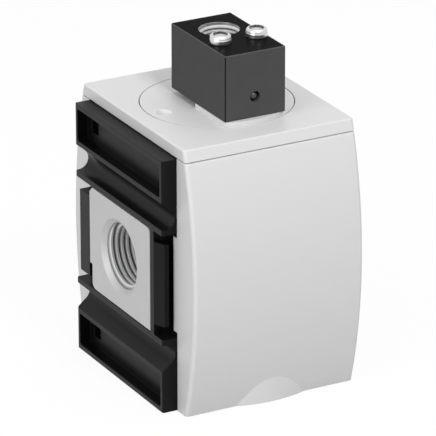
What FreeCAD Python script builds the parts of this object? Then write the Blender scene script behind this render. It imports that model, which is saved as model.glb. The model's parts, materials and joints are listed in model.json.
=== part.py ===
# Piloted 3/2 poppet valve for a modular air preparation line.
# Millimetres. X runs along the front of the module, -Y is the front, +Z is up.
# The origin is the centre of the exhaust port mouth, on the underside of the valve.
import FreeCAD
import Part

import math
import os

from FreeCAD import Vector

# Outside of the module
cover_width = 58.0
joining_frame_reach = 5.0
lid_thickness = 3.6
barrel_radius = 150.0
barrel_end_depth = 5.431
cover_wall = 2.0
cover_corner_radius = 1.2
cover_edge_radius = 0.5
bottom_lobe_radius = 36.0
seam_gap = 0.1

# Joining frame, measured from the middle height of the module
housing_half_depth = 28.5
frame_end_gap = 0.2
frame_wall = 1.5
plate_bay_half_height = 16.9
rib_thickness = 1.8
groove_opening = 8.6
groove_depth = 4.3
groove_floor = 4.9
groove_root_radius = 3.3
window_depth = 3.6
window_slot_size = 4.0
window_slot_depth = 5.0
window_slot_from_end = 6.3

# Port plates and their threads, by the major radius of the parallel pipe threads
half_inch_thread_radius = 10.48
quarter_inch_thread_radius = 6.58
plate_front_reach = 20.4
plate_rear_reach = 19.3
plate_thickness = 3.3
plate_step = 1.5
plate_step_height = 7.9
plate_gap = 0.3
plate_corner_radius = 2.0
plate_chamfer = 1.8
port_mouth_radius = 12.0
port_mouth_depth = 1.5
sleeve_radius = 13.6
left_sleeve_wall = 2.4
right_sleeve_wall = 2.0
sleeve_seal_from_end = 3.2
rail_strip_width = 2.2
rail_bar_reach = 4.2
rail_bar_slope = 1.5
rail_bar_depth = 3.0
rail_half_height = 13.4
rear_rail_from_back = 2.7
tongue_reach = 2.4
tongue_half_height = 15.4

# Seals
seal_section_radius = 0.85
seal_groove_side_gap = 0.1
static_gap = 0.05
running_gap = 0.06

# Poppet, seats and stem
stroke = 4.0
upper_lip_above_port = 5.0
poppet_edge_beyond_lip = 1.1
poppet_plate_thickness = 5.0
facing_thickness = 1.5
facing_inner_margin = 0.8
seat_hole_radius = 9.5
seat_lip_width = 1.4
seat_lip_height = 1.0
seat_ring_thickness = 4.2
chamber_clearance = 2.5
insert_ledge = 1.45
stem_radius = 4.0
stem_thread_radius = 3.0
nut_across_flats = 10.0
nut_height = 3.0
thread_end_length = 0.5

# Stem guide and pilot piston
inlet_gallery_height = 5.3
inlet_riser_width = 2.6
passage_side_margin = 1.5
gallery_floor_gap = 0.3
gallery_roof_gap = 0.6
outlet_edge = 1.0
port_relief_radius = 11.2
port_relief_depth = 0.8
guide_body_height = 3.5
guide_flange_thickness = 3.0
guide_hub_radius = 7.5
guide_hub_drop = 3.0
guide_leg_width = 5.0
guide_leg_thickness = 2.6
guide_leg_count = 4
piston_bore_radius = 20.0
piston_floor_gap = 1.0
piston_height = 6.5
piston_rim_thickness = 2.0
piston_pocket_depth = 2.5
piston_seal_height = 2.3
piston_seal_depth = 2.4
piston_top_gap = 0.5

# Exhaust adapter and spring
exhaust_stack_height = 28.8
exhaust_thread_length = 12.0
adapter_nose_step = 2.65
adapter_nose_height = 3.0
adapter_wall = 3.35
spider_thickness = 2.5
spider_ring_inner = 5.6
spider_ring_outer = 9.0
spider_spoke_width = 3.0
spider_spoke_count = 3
spring_coil_radius = 7.1
spring_wire_radius = 0.8
spring_turns = 6
retaining_ring_thickness = 1.5
retaining_ring_reach = 2.05
retaining_groove_depth = 1.3
retaining_ring_opening = 40.0
retaining_ring_eye = 0.8

# Pilot disc, its bayonet and the pad under the pilot block
disc_radius = 23.5
disc_gap = 0.3
plug_radius = 21.5
plug_height = 7.2
bayonet_lug_radius = 23.2
bayonet_lug_height = 2.0
bayonet_lug_angle = 36.0
bayonet_entry_angle = 44.0
bayonet_count = 3
bayonet_roof = 1.7
dimple_from_axis = 18.8
dimple_angle = 4.5
dimple_radius = 2.4
dimple_depth = 0.9
pad_height = 1.5
pad_rear_y = -2.7
pad_rim = 0.2

# Pilot block
block_width = 20.6
block_length = 34.4
block_height = 21.0
block_centre_x = 1.4
block_front_y = -21.6
block_edge = 0.25
pilot_port_y = 1.2
pilot_thread_length = 12.0
cross_drill_radius = 1.75
cross_drill_height = 6.55
feed_hole_y = -15.0
feed_hole_radius = 1.6
block_screw_spacing = 12.4
block_screw_offset = 0.7
block_screw_y = -9.8
screw_radius = 2.0
screw_hole_radius = 2.2
screw_head_radius = 3.35
screw_head_height = 2.2
screw_head_edge = 0.7
screw_grip_in_disc = 6.0
screw_recess_radius = 1.5
screw_recess_depth = 1.3
face_seal_radius = 2.9
face_seal_section = 0.7

# Snap hooks of the covers and the lid
hook_width = 5.0
hook_thickness = 1.6
hook_barb = 0.7
hook_barb_length = 1.6
hook_engagement = 3.2
hook_gap = 0.3
hook_positions_x = (-14.0, 0.0, 14.0)
hook_offset_z = 14.5
lid_hook_x = 14.0
lid_hook_from_back = 2.3

# Pockets that lighten the front and rear of the housing, under the covers
pocket_depth = 4.8
pocket_rib = 5.0
pocket_corner_radius = 1.5
pocket_rows_from_middle = ((-34.0, -17.5), (-11.5, 11.5), (17.5, 33.0))

# Worked out from the sizes above

# The stack on the valve axis sets the heights
poppet_height = poppet_plate_thickness + 2.0 * facing_thickness
lower_seat_bottom = exhaust_stack_height
lower_ledge = lower_seat_bottom + seat_ring_thickness
lower_lip = lower_ledge + seat_lip_height
poppet_bottom = lower_lip + stroke
poppet_top = poppet_bottom + poppet_height
middle_height = poppet_top - upper_lip_above_port
upper_lip = poppet_top
upper_ledge = upper_lip + seat_lip_height
upper_seat_top = upper_ledge + seat_ring_thickness
plate_top = poppet_top - facing_thickness
plate_bottom = poppet_bottom + facing_thickness
guide_body_bottom = upper_seat_top + inlet_gallery_height
guide_step = guide_body_bottom + guide_body_height
guide_top = guide_step + guide_flange_thickness
guide_bore_radius = stem_radius + running_gap
piston_bottom = guide_top + piston_floor_gap + stroke
piston_top = piston_bottom + piston_height
piston_radius = piston_bore_radius - running_gap
plug_bottom = piston_top + piston_top_gap
body_height = plug_bottom + plug_height

# The seat hole sets the radii of what lies round it
poppet_radius = seat_hole_radius + seat_lip_width + poppet_edge_beyond_lip
facing_inner_radius = seat_hole_radius - facing_inner_margin
chamber_radius = poppet_radius + chamber_clearance
insert_radius = chamber_radius + insert_ledge
insert_bore_radius = insert_radius + static_gap
adapter_nose_radius = insert_radius - adapter_nose_step
adapter_bore_radius = insert_radius - adapter_wall
retaining_ring_inner = insert_radius - retaining_ring_reach

# The outside follows the stack
frame_half_height = min(middle_height, body_height - middle_height) - frame_end_gap
barrel_sagitta = barrel_radius - math.sqrt(barrel_radius ** 2 - max(middle_height, body_height - middle_height) ** 2)
barrel_half_depth = housing_half_depth + barrel_end_depth + barrel_sagitta
cover_half_width = cover_width / 2.0
left_face_x = -cover_half_width - joining_frame_reach
right_face_x = cover_half_width
left_sleeve_length = -left_face_x - insert_bore_radius - left_sleeve_wall - inlet_riser_width
right_sleeve_length = right_face_x - insert_bore_radius - right_sleeve_wall
rear_rail_reach = housing_half_depth - rear_rail_from_back
lid_hook_y = housing_half_depth - lid_hook_from_back
frame_low = middle_height - frame_half_height
frame_high = middle_height + frame_half_height
total_height = body_height + lid_thickness
groove_near = plate_bay_half_height + rib_thickness
groove_far = groove_near + groove_opening
window_near = groove_far + frame_wall
window_far = frame_half_height - frame_wall
plate_half_height = plate_bay_half_height - plate_gap

plug_bore_radius = plug_radius + static_gap
bayonet_lug_top = body_height - bayonet_roof
piston_nut_seat = piston_top - nut_height - thread_end_length

spring_seat = exhaust_thread_length + spider_thickness
seal_groove_width = 2.0 * (seal_section_radius + seal_groove_side_gap)
seal_groove_depth = 2.0 * seal_section_radius

pad_top = total_height + pad_height
block_top = pad_top + block_height
block_rear_y = block_front_y + block_length
cross_drill_z = pad_top + cross_drill_height
block_screw_middle = block_centre_x + block_screw_offset
block_screw_x = (block_screw_middle - block_screw_spacing / 2.0, block_screw_middle + block_screw_spacing / 2.0)


# Plain solids

def block_between(x_range, y_range, z_range):
    """Box between two values on each axis."""
    low = Vector(min(x_range), min(y_range), min(z_range))
    high = Vector(max(x_range), max(y_range), max(z_range))
    size = high - low
    return Part.makeBox(size.x, size.y, size.z, low)


def post(radius, z_low, z_high, x=0.0, y=0.0):
    """Upright cylinder."""
    return Part.makeCylinder(radius, z_high - z_low, Vector(x, y, z_low))


def bar_along(radius, start, direction, length):
    """Cylinder of a length from a start point along a direction."""
    return Part.makeCylinder(radius, length, start, direction)


def turned(profile):
    """Solid turned about Z from (radius, height) corners."""
    corners = [Vector(radius, 0.0, height) for radius, height in profile]
    face = Part.Face(Part.makePolygon(corners + corners[:1]))
    return face.revolve(Vector(0, 0, 0), Vector(0, 0, 1), 360)


def ring_seal(inner_radius, middle_z, section=seal_section_radius):
    """O-ring about Z by its inner radius."""
    return Part.makeTorus(inner_radius + section, section, Vector(0, 0, middle_z))


def seal_groove(bottom_radius, outer_radius, middle_z):
    """Ring cut for an O-ring in the outside of a turned piece."""
    low = middle_z - seal_groove_width / 2.0
    high = middle_z + seal_groove_width / 2.0
    return turned([(bottom_radius, low), (outer_radius, low), (outer_radius, high), (bottom_radius, high)])


def half_turn(shape):
    """Copy turned by half a turn about the valve axis."""
    copy = shape.copy()
    copy.rotate(Vector(0, 0, 0), Vector(0, 0, 1), 180)
    return copy


def around_axis(shape, count, first_angle=0.0):
    """Copies spaced evenly about the valve axis."""
    copies = []
    for index in range(count):
        copy = shape.copy()
        copy.rotate(Vector(0, 0, 0), Vector(0, 0, 1), first_angle + index * 360.0 / count)
        copies.append(copy)
    return copies


def fillet_where(shape, radius, test):
    """Fillet the edges whose bounding box passes a test."""
    edges = [edge for edge in shape.Edges if test(edge.BoundBox)]
    return shape.makeFillet(radius, edges)


def sector(outer_radius, z_low, z_high, angle, inner_radius=0.0):
    """Part of a ring centred on +X, with a given angle in degrees."""
    wedge = Part.makeCylinder(outer_radius, z_high - z_low, Vector(0, 0, z_low), Vector(0, 0, 1), angle)
    wedge.rotate(Vector(0, 0, 0), Vector(0, 0, 1), -angle / 2.0)
    if inner_radius > 0.0:
        wedge = wedge.cut(post(inner_radius, z_low - 1.0, z_high + 1.0))
    return wedge


# Barrel shape shared by the covers and the lid

def barrel_reach(z, inset=0.0):
    """Half depth of the barrel at a height."""
    radius = barrel_radius - inset
    rise = math.sqrt(radius ** 2 - (z - middle_height) ** 2)
    return barrel_half_depth - barrel_radius + rise


def barrel_slab(z_low, z_high, half_width, y_back, inset=0.0):
    """Front half of the barrel, from y_back forward, between two heights."""
    low = Vector(-half_width, -barrel_reach(z_low, inset), z_low)
    high = Vector(-half_width, -barrel_reach(z_high, inset), z_high)
    middle_z = (z_low + z_high) / 2.0
    middle = Vector(-half_width, -barrel_reach(middle_z, inset), middle_z)
    low_back = Vector(-half_width, y_back, z_low)
    high_back = Vector(-half_width, y_back, z_high)
    wire = Part.Wire([
        Part.Arc(low, middle, high).toShape(),
        Part.makeLine(high, high_back),
        Part.makeLine(high_back, low_back),
        Part.makeLine(low_back, low),
    ])
    return Part.Face(wire).extrude(Vector(2.0 * half_width, 0, 0))


def hook_rows():
    """Places of the cover hooks as (x, z)."""
    heights = (middle_height - hook_offset_z, middle_height + hook_offset_z)
    return [(x, z) for x in hook_positions_x for z in heights]


def cover_hook(x, z):
    """Snap arm from the front wall of a cover into the housing."""
    tip_y = -housing_half_depth + hook_engagement
    root_y = -barrel_reach(z, cover_wall) - cover_wall / 2.0
    barb_start = tip_y - hook_barb_length
    outline = [
        Vector(x - hook_width / 2.0, root_y, z),
        Vector(x - hook_width / 2.0, tip_y, z),
        Vector(x - hook_width / 2.0, tip_y, z + hook_thickness),
        Vector(x - hook_width / 2.0, barb_start, z + hook_thickness + hook_barb),
        Vector(x - hook_width / 2.0, barb_start, z + hook_thickness),
        Vector(x - hook_width / 2.0, root_y, z + hook_thickness),
    ]
    face = Part.Face(Part.makePolygon(outline + outline[:1]))
    return face.extrude(Vector(hook_width, 0, 0))


def cover_hook_slot(x, z):
    """Cut in the housing front that a cover hook snaps into."""
    x_range = (x - hook_width / 2.0 - hook_gap, x + hook_width / 2.0 + hook_gap)
    tip_y = -housing_half_depth + hook_engagement
    entry = block_between(x_range, (-housing_half_depth, tip_y + hook_gap),
                          (z - hook_gap, z + hook_thickness + hook_gap))
    catch = block_between(x_range, (tip_y - hook_barb_length - hook_gap / 2.0, tip_y + hook_gap),
                          (z - hook_gap, z + hook_thickness + hook_barb + hook_gap))
    return entry.fuse(catch)


def front_cover():
    """Moulded shell over the front of the housing, with the lobe round the exhaust end."""
    top = body_height - seam_gap
    outside = barrel_slab(0.0, top, cover_half_width, -housing_half_depth)
    outside = fillet_where(outside, cover_corner_radius, lambda box: (
        box.XLength < 0.01 and box.ZLength > body_height / 2.0 and box.YMax < -housing_half_depth - 1.0))
    outside = fillet_where(outside, cover_edge_radius, lambda box: (
        box.XLength > cover_width / 2.0 and box.ZMin > top - 0.01 and box.YMax < -housing_half_depth - 1.0))
    lobe = post(bottom_lobe_radius, 0.0, middle_height / 2.0)
    front_room = block_between((-cover_half_width, cover_half_width),
                               (-housing_half_depth, -2.0 * barrel_half_depth), (0.0, middle_height / 2.0))
    outside = outside.fuse(lobe.common(front_room))
    inside = barrel_slab(cover_wall, top - cover_wall, cover_half_width - cover_wall,
                         -housing_half_depth, cover_wall)
    shell = outside.cut(inside)
    hooks = [cover_hook(x, z) for x, z in hook_rows()]
    tongues = [tongue_notch(side_x) for side_x in (-1.0, 1.0)]
    return shell.multiFuse(hooks + tongues).removeSplitter()


def top_lid():
    """Lid plate with the barrel edges, a round opening and four snap hooks."""
    front = barrel_slab(body_height, total_height, cover_half_width, 0.0)
    plate = front.fuse(half_turn(front)).removeSplitter()
    plate = fillet_where(plate, cover_corner_radius, lambda box: (
        box.XLength < 0.01 and box.YLength < lid_thickness and box.ZLength > lid_thickness / 2.0))
    plate = fillet_where(plate, cover_edge_radius, lambda box: box.ZMin > total_height - 0.01)
    plate = plate.cut(post(disc_radius + disc_gap, body_height - 1.0, total_height + 1.0))
    rim = cover_wall + disc_gap
    hollow = barrel_slab(body_height, total_height - cover_wall, cover_half_width - rim, 0.0, rim)
    hollow = hollow.fuse(half_turn(hollow))
    hollow = hollow.cut(post(disc_radius + rim, body_height, total_height))
    cross = block_between((-lid_hook_x - hook_width, lid_hook_x + hook_width),
                          (-2.0 * barrel_half_depth, 2.0 * barrel_half_depth), (body_height, total_height))
    plate = plate.cut(hollow.cut(cross))
    hooks = [lid_hook(side_x, side_y) for side_x in (-1.0, 1.0) for side_y in (-1.0, 1.0)]
    return plate.multiFuse(hooks).removeSplitter()


def lid_hook(side_x, side_y):
    """Snap arm that hangs from the lid into the top of the housing."""
    y = side_y * lid_hook_y
    x_low = side_x * lid_hook_x - hook_width / 2.0
    tip = body_height - 2.0 * hook_engagement
    outward = side_y * hook_thickness
    barb = side_y * (hook_thickness + hook_barb)
    outline = [
        Vector(x_low, y, body_height),
        Vector(x_low, y, tip),
        Vector(x_low, y + outward, tip),
        Vector(x_low, y + barb, tip + hook_barb_length),
        Vector(x_low, y + outward, tip + hook_barb_length),
        Vector(x_low, y + outward, body_height),
    ]
    face = Part.Face(Part.makePolygon(outline + outline[:1]))
    return face.extrude(Vector(hook_width, 0, 0))


def lid_hook_slot(side_x, side_y):
    """Cut in the top of the housing that a lid hook snaps into."""
    middle_x = side_x * lid_hook_x
    x_range = (middle_x - hook_width / 2.0 - hook_gap, middle_x + hook_width / 2.0 + hook_gap)
    near = side_y * (lid_hook_y - hook_gap)
    far = side_y * (lid_hook_y + hook_thickness + hook_gap)
    tip = body_height - 2.0 * hook_engagement - hook_gap
    entry = block_between(x_range, (near, far), (tip, body_height))
    catch = block_between(x_range, (near, side_y * housing_half_depth), (tip, body_height - hook_engagement))
    return entry.fuse(catch)


# Joining side: built for the left, where depth runs along +X from the joining face at X = 0

def clamp_groove(side_z):
    """Groove along Y, with a level flank, a round root and a sloped flank, that a module clamp grips."""
    near = middle_height + side_z * groove_near
    far = middle_height + side_z * groove_far
    floor_end = near + side_z * groove_floor
    outline = [
        Vector(-1.0, -housing_half_depth, near),
        Vector(groove_depth, -housing_half_depth, near),
        Vector(groove_depth, -housing_half_depth, floor_end),
        Vector(0.0, -housing_half_depth, far),
        Vector(-1.0, -housing_half_depth, far),
    ]
    prism = Part.Face(Part.makePolygon(outline + outline[:1])).extrude(Vector(0, 2.0 * housing_half_depth, 0))
    return fillet_where(prism, groove_root_radius, lambda box: (
        box.XMin > groove_depth - 0.01 and box.YLength > housing_half_depth))


def joining_window(side_z):
    """Recess in the joining face with a square latch slot in its floor."""
    z_range = (middle_height + side_z * window_near, middle_height + side_z * window_far)
    y_far = housing_half_depth - frame_wall
    recess = block_between((0.0, window_depth), (-y_far, y_far), z_range)
    recess = fillet_where(recess, 0.8, lambda box: box.XLength > window_depth - 0.01)
    middle_z = sum(z_range) / 2.0
    slot_y = y_far - window_slot_from_end / 2.0
    slot = block_between((window_depth, window_depth + window_slot_depth),
                         (slot_y - window_slot_size, slot_y),
                         (middle_z - window_slot_size / 2.0, middle_z + window_slot_size / 2.0))
    return recess.fuse(slot)


def plate_outline(grow):
    """Face of the port plate on the joining plane, grown by a gap."""
    front = -plate_front_reach - grow
    rear = plate_rear_reach + grow
    low = middle_height - plate_half_height - grow
    high = middle_height + plate_half_height + grow
    step_z = low + plate_step_height
    corners = [
        Vector(0, front, low),
        Vector(0, rear - plate_step, low),
        Vector(0, rear - plate_step, step_z),
        Vector(0, rear, step_z),
        Vector(0, rear, high - plate_chamfer),
        Vector(0, rear - plate_chamfer, high),
        Vector(0, front, high),
    ]
    return Part.Face(Part.makePolygon(corners + corners[:1]))


def plate_solid(thickness, grow=0.0):
    """Port plate without its bore."""
    solid = plate_outline(grow).extrude(Vector(thickness, 0, 0))
    low = middle_height - plate_half_height - grow
    rear_low = plate_rear_reach + grow - plate_step

    def rounded(box):
        runs_through = box.XLength > thickness - 0.01
        rear_bottom = box.YMin > rear_low - 0.01 and box.ZMax < low + 0.01
        front_top = box.YMax < -plate_front_reach - grow + 0.01 and box.ZMin > middle_height
        return runs_through and (rear_bottom or front_top)

    return fillet_where(solid, plate_corner_radius, rounded)


def plate_bay():
    """Open bay round the port plate, with the rails left standing in it and deeper room behind the front one."""
    z_range = (middle_height - plate_bay_half_height, middle_height + plate_bay_half_height)
    rail_z = (middle_height - rail_half_height, middle_height + rail_half_height)
    floor = plate_thickness + plate_gap
    strip_inner = -plate_front_reach - plate_gap
    strip_outer = strip_inner - rail_strip_width
    bar_end = strip_outer - rail_bar_reach
    bay = block_between((-1.0, floor), (-housing_half_depth, housing_half_depth), z_range)
    for deep_y in ((-housing_half_depth, strip_outer), (rear_rail_reach, housing_half_depth)):
        bay = bay.fuse(block_between((-1.0, joining_frame_reach), deep_y, z_range))
    outline = [
        Vector(0, strip_outer, rail_z[0]),
        Vector(rail_bar_slope, bar_end, rail_z[0]),
        Vector(rail_bar_depth, bar_end, rail_z[0]),
        Vector(rail_bar_depth, strip_outer, rail_z[0]),
    ]
    bar = Part.Face(Part.makePolygon(outline + outline[:1])).extrude(Vector(0, 0, rail_z[1] - rail_z[0]))
    strip = block_between((0.0, floor), (strip_outer, strip_inner), z_range)
    rear_rail = block_between((0.0, floor), (plate_rear_reach + plate_gap, rear_rail_reach), rail_z)
    return bay.cut(strip.multiFuse([bar, rear_rail]).cut(plate_solid(floor, plate_gap)))


def tongue_notch(side_x, grow=0.0):
    """Room at a front corner of the housing for the tongue of a cover side wall."""
    outer = side_x * cover_half_width
    inner = side_x * (cover_half_width - cover_wall - grow)
    reach = tongue_half_height + grow
    return block_between((inner, outer), (-housing_half_depth, -housing_half_depth + tongue_reach + grow),
                         (middle_height - reach, middle_height + reach))


def sleeve_bore(length):
    """Bore in the housing that a port sleeve fills, with the passage room behind it."""
    start = Vector(-1.0, 0, middle_height)
    return bar_along(sleeve_radius + static_gap, start, Vector(1, 0, 0), length + 1.0)


def joining_cuts(sleeve_length):
    """Everything taken out of the housing on one joining side."""
    cuts = [clamp_groove(side) for side in (-1.0, 1.0)]
    cuts += [joining_window(side) for side in (-1.0, 1.0)]
    cuts.append(plate_bay())
    cuts.append(sleeve_bore(sleeve_length))
    return cuts


def port_plate(sleeve_length):
    """Die-cast plate with the threaded sleeve of one port."""
    plate = plate_solid(plate_thickness)
    axis = Vector(1, 0, 0)
    sleeve = bar_along(sleeve_radius, Vector(0, 0, middle_height), axis, sleeve_length)
    body = plate.fuse(sleeve)
    body = body.cut(bar_along(half_inch_thread_radius, Vector(0, 0, middle_height), axis, sleeve_length))
    mouth = Part.makeCone(port_mouth_radius, half_inch_thread_radius, port_mouth_depth,
                          Vector(0, 0, middle_height), axis)
    body = body.cut(mouth)
    groove_x = sleeve_length - sleeve_seal_from_end
    outer = bar_along(sleeve_radius + 1.0, Vector(groove_x, 0, middle_height), axis, seal_groove_width)
    core = bar_along(sleeve_radius - seal_groove_depth, Vector(groove_x, 0, middle_height), axis, seal_groove_width)
    return body.cut(outer.cut(core)).removeSplitter()


def port_seal(sleeve_length):
    """O-ring in the groove of a port sleeve."""
    middle_x = sleeve_length - sleeve_seal_from_end + seal_groove_width / 2.0
    return Part.makeTorus(sleeve_radius - seal_section_radius, seal_section_radius,
                          Vector(middle_x, 0, middle_height), Vector(1, 0, 0))


def on_left(shape):
    """Place a joining-side shape on the left of the module."""
    copy = shape.copy()
    copy.translate(Vector(left_face_x, 0, 0))
    return copy


def on_right(shape):
    """Place a joining-side shape on the right of the module, turned to face +X."""
    copy = half_turn(shape)
    copy.translate(Vector(right_face_x, 0, 0))
    return copy


# Housing

def axis_bore():
    """Stepped bore on the valve axis, open at both ends."""
    return turned([
        (0.0, -1.0),
        (insert_bore_radius, -1.0),
        (insert_bore_radius, lower_ledge),
        (chamber_radius, lower_ledge),
        (chamber_radius, upper_ledge),
        (insert_bore_radius, upper_ledge),
        (insert_bore_radius, guide_step),
        (piston_bore_radius, guide_step),
        (piston_bore_radius, plug_bottom),
        (plug_bore_radius, plug_bottom),
        (plug_bore_radius, body_height + 1.0),
        (0.0, body_height + 1.0),
    ])


def bayonet_cuts():
    """Ring room and entries in the housing for the lugs of the pilot disc."""
    radius = bayonet_lug_radius + disc_gap
    low = bayonet_lug_top - bayonet_lug_height - hook_gap
    high = bayonet_lug_top
    cuts = [post(radius, low, high)]
    entry = sector(radius, low, body_height + 1.0, bayonet_entry_angle)
    return cuts + around_axis(entry, bayonet_count, 180.0 / bayonet_count)


def retaining_groove():
    """Groove near the bottom of the bore for the retaining ring."""
    high = adapter_nose_height
    low = high - retaining_ring_thickness - static_gap
    return post(insert_bore_radius + retaining_groove_depth, low, high)


def air_passages():
    """Ways from the left port up to the inlet gallery and from the chamber to the right port."""
    pocket_end = left_face_x + left_sleeve_length
    slot_x = (pocket_end, pocket_end + inlet_riser_width)
    half_slot = seat_hole_radius - passage_side_margin
    gallery_roof = guide_body_bottom - gallery_roof_gap
    riser = block_between(slot_x, (-half_slot, half_slot), (middle_height - half_slot, gallery_roof))
    crossing = block_between((slot_x[0], -insert_radius / 2.0), (-half_slot, half_slot),
                             (upper_seat_top + gallery_floor_gap, gallery_roof))
    sleeve_end = right_face_x - right_sleeve_length
    outlet = block_between((0.0, sleeve_end + static_gap), (-half_slot, half_slot),
                           (lower_ledge + outlet_edge, upper_ledge - outlet_edge))
    reliefs = [bar_along(port_relief_radius, Vector(pocket_end, 0, middle_height), Vector(1, 0, 0), port_relief_depth),
               bar_along(port_relief_radius, Vector(sleeve_end, 0, middle_height), Vector(-1, 0, 0), port_relief_depth)]
    return [riser, crossing, outlet] + reliefs


def lightening_pockets():
    """Two columns of pockets in the front face of the housing."""
    inner = pocket_rib
    outer = cover_half_width - pocket_rib - groove_depth / 2.0
    cuts = []
    for low, high in pocket_rows_from_middle:
        z_range = (middle_height + low, middle_height + high)
        for side in (-1.0, 1.0):
            pocket = block_between((side * inner, side * outer),
                                   (-housing_half_depth, -housing_half_depth + pocket_depth), z_range)
            cuts.append(fillet_where(pocket, pocket_corner_radius, lambda box: box.YLength > pocket_depth - 0.01))
    return cuts


def valve_housing():
    """Moulded housing with the joining frames, the axis bore and the air passages."""
    core = block_between((-cover_half_width, right_face_x), (-housing_half_depth, housing_half_depth),
                         (0.0, body_height))
    frame = block_between((left_face_x, -cover_half_width), (-housing_half_depth, housing_half_depth),
                          (frame_low, frame_high))
    frame = fillet_where(frame, 0.6, lambda box: box.XMax < left_face_x + 0.01 and box.YLength < 0.01)
    body = core.fuse(frame)
    front_cuts = lightening_pockets() + [cover_hook_slot(x, z) for x, z in hook_rows()]
    front_cuts += [tongue_notch(side_x, static_gap) for side_x in (-1.0, 1.0)]
    cuts = [axis_bore(), retaining_groove()] + bayonet_cuts() + air_passages()
    cuts += front_cuts + [half_turn(cut) for cut in front_cuts]
    cuts += [on_left(cut) for cut in joining_cuts(left_sleeve_length)]
    cuts += [on_right(cut) for cut in joining_cuts(right_sleeve_length)]
    cuts += [lid_hook_slot(side_x, side_y) for side_x in (-1.0, 1.0) for side_y in (-1.0, 1.0)]
    for cut in cuts:
        body = body.cut(cut)
    return body.removeSplitter()


# Pieces on the valve axis

def seat_ring(ledge, side):
    """Seat insert against a ledge, with its lip towards the chamber; side is 1 above it, -1 below."""
    back = ledge + side * seat_ring_thickness
    lip = ledge - side * seat_lip_height
    lip_outer = seat_hole_radius + seat_lip_width
    tip = seat_lip_width / 3.0
    profile = [
        (seat_hole_radius, back),
        (insert_radius, back),
        (insert_radius, ledge),
        (lip_outer + tip, ledge),
        (lip_outer - tip, lip),
        (seat_hole_radius + tip, lip),
        (seat_hole_radius, ledge - side * seat_lip_height / 2.0),
    ]
    middle = ledge + side * seat_ring_thickness / 2.0
    return turned(profile).cut(seal_groove(insert_radius - seal_groove_depth, insert_radius + 1.0, middle))


def insert_seal(middle_z):
    """O-ring round an insert of the axis bore."""
    return ring_seal(insert_radius - seal_groove_depth, middle_z)


def stem_guide():
    """Turned guide with a flange, a long hub and legs that hold the upper seat down."""
    hub_bottom = guide_body_bottom - guide_hub_drop
    flange_radius = piston_bore_radius - 0.2
    body = turned([
        (guide_bore_radius, hub_bottom),
        (guide_hub_radius, hub_bottom),
        (guide_hub_radius, guide_body_bottom),
        (insert_radius, guide_body_bottom),
        (insert_radius, guide_step),
        (flange_radius, guide_step),
        (flange_radius, guide_top),
        (guide_bore_radius, guide_top),
    ])
    leg_room = turned([
        (insert_radius - guide_leg_thickness, upper_seat_top),
        (insert_radius, upper_seat_top),
        (insert_radius, guide_body_bottom),
        (insert_radius - guide_leg_thickness, guide_body_bottom),
    ])
    leg_bar = block_between((0.0, insert_radius + 1.0), (-guide_leg_width / 2.0, guide_leg_width / 2.0),
                            (upper_seat_top, guide_body_bottom))
    legs = [leg_room.common(bar) for bar in around_axis(leg_bar, guide_leg_count, 180.0 / guide_leg_count)]
    body = body.multiFuse(legs)
    outer_groove = seal_groove(insert_radius - seal_groove_depth, insert_radius + 1.0, guide_seal_middle())
    inner_groove = seal_groove(guide_bore_radius - 1.0, guide_bore_radius + seal_groove_depth, stem_seal_middle())
    return body.cut(outer_groove).cut(inner_groove).removeSplitter()


def guide_seal_middle():
    """Height of the O-ring round the guide."""
    return (guide_body_bottom + guide_step) / 2.0


def stem_seal_middle():
    """Height of the O-ring between the guide and the stem."""
    return guide_step + guide_flange_thickness / 2.0


def valve_stem():
    """Stem with a threaded end for the poppet nut and one for the piston nut."""
    low_end = plate_bottom - nut_height - thread_end_length
    top_end = piston_nut_seat + nut_height + thread_end_length / 2.0
    edge = 0.4
    return turned([
        (0.0, low_end),
        (stem_thread_radius - edge, low_end),
        (stem_thread_radius, low_end + edge),
        (stem_thread_radius, plate_top),
        (stem_radius, plate_top),
        (stem_radius, piston_bottom),
        (stem_thread_radius, piston_bottom),
        (stem_thread_radius, top_end - edge),
        (stem_thread_radius - edge, top_end),
        (0.0, top_end),
    ])


def poppet_plate():
    """Rigid plate of the poppet, between its two rubber facings."""
    return turned([
        (stem_thread_radius, plate_bottom),
        (poppet_radius, plate_bottom),
        (poppet_radius, plate_top),
        (stem_thread_radius, plate_top),
    ])


def poppet_facing(z_low):
    """Rubber ring bonded to one face of the poppet plate."""
    z_high = z_low + facing_thickness
    return turned([
        (facing_inner_radius, z_low),
        (poppet_radius, z_low),
        (poppet_radius, z_high),
        (facing_inner_radius, z_high),
    ])


def hex_nut(z_low):
    """Hexagon nut on the stem."""
    corner = nut_across_flats / math.sqrt(3.0)
    corners = []
    for index in range(6):
        angle = math.radians(60.0 * index)
        corners.append(Vector(corner * math.cos(angle), corner * math.sin(angle), z_low))
    prism = Part.Face(Part.makePolygon(corners + corners[:1])).extrude(Vector(0, 0, nut_height))
    flat = nut_across_flats / 2.0
    edge = 0.4
    rounding = turned([
        (0.0, z_low),
        (flat, z_low),
        (corner, z_low + edge),
        (corner, z_low + nut_height - edge),
        (flat, z_low + nut_height),
        (0.0, z_low + nut_height),
    ])
    return prism.common(rounding).cut(post(stem_thread_radius, z_low - 1.0, z_low + nut_height + 1.0))


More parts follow.
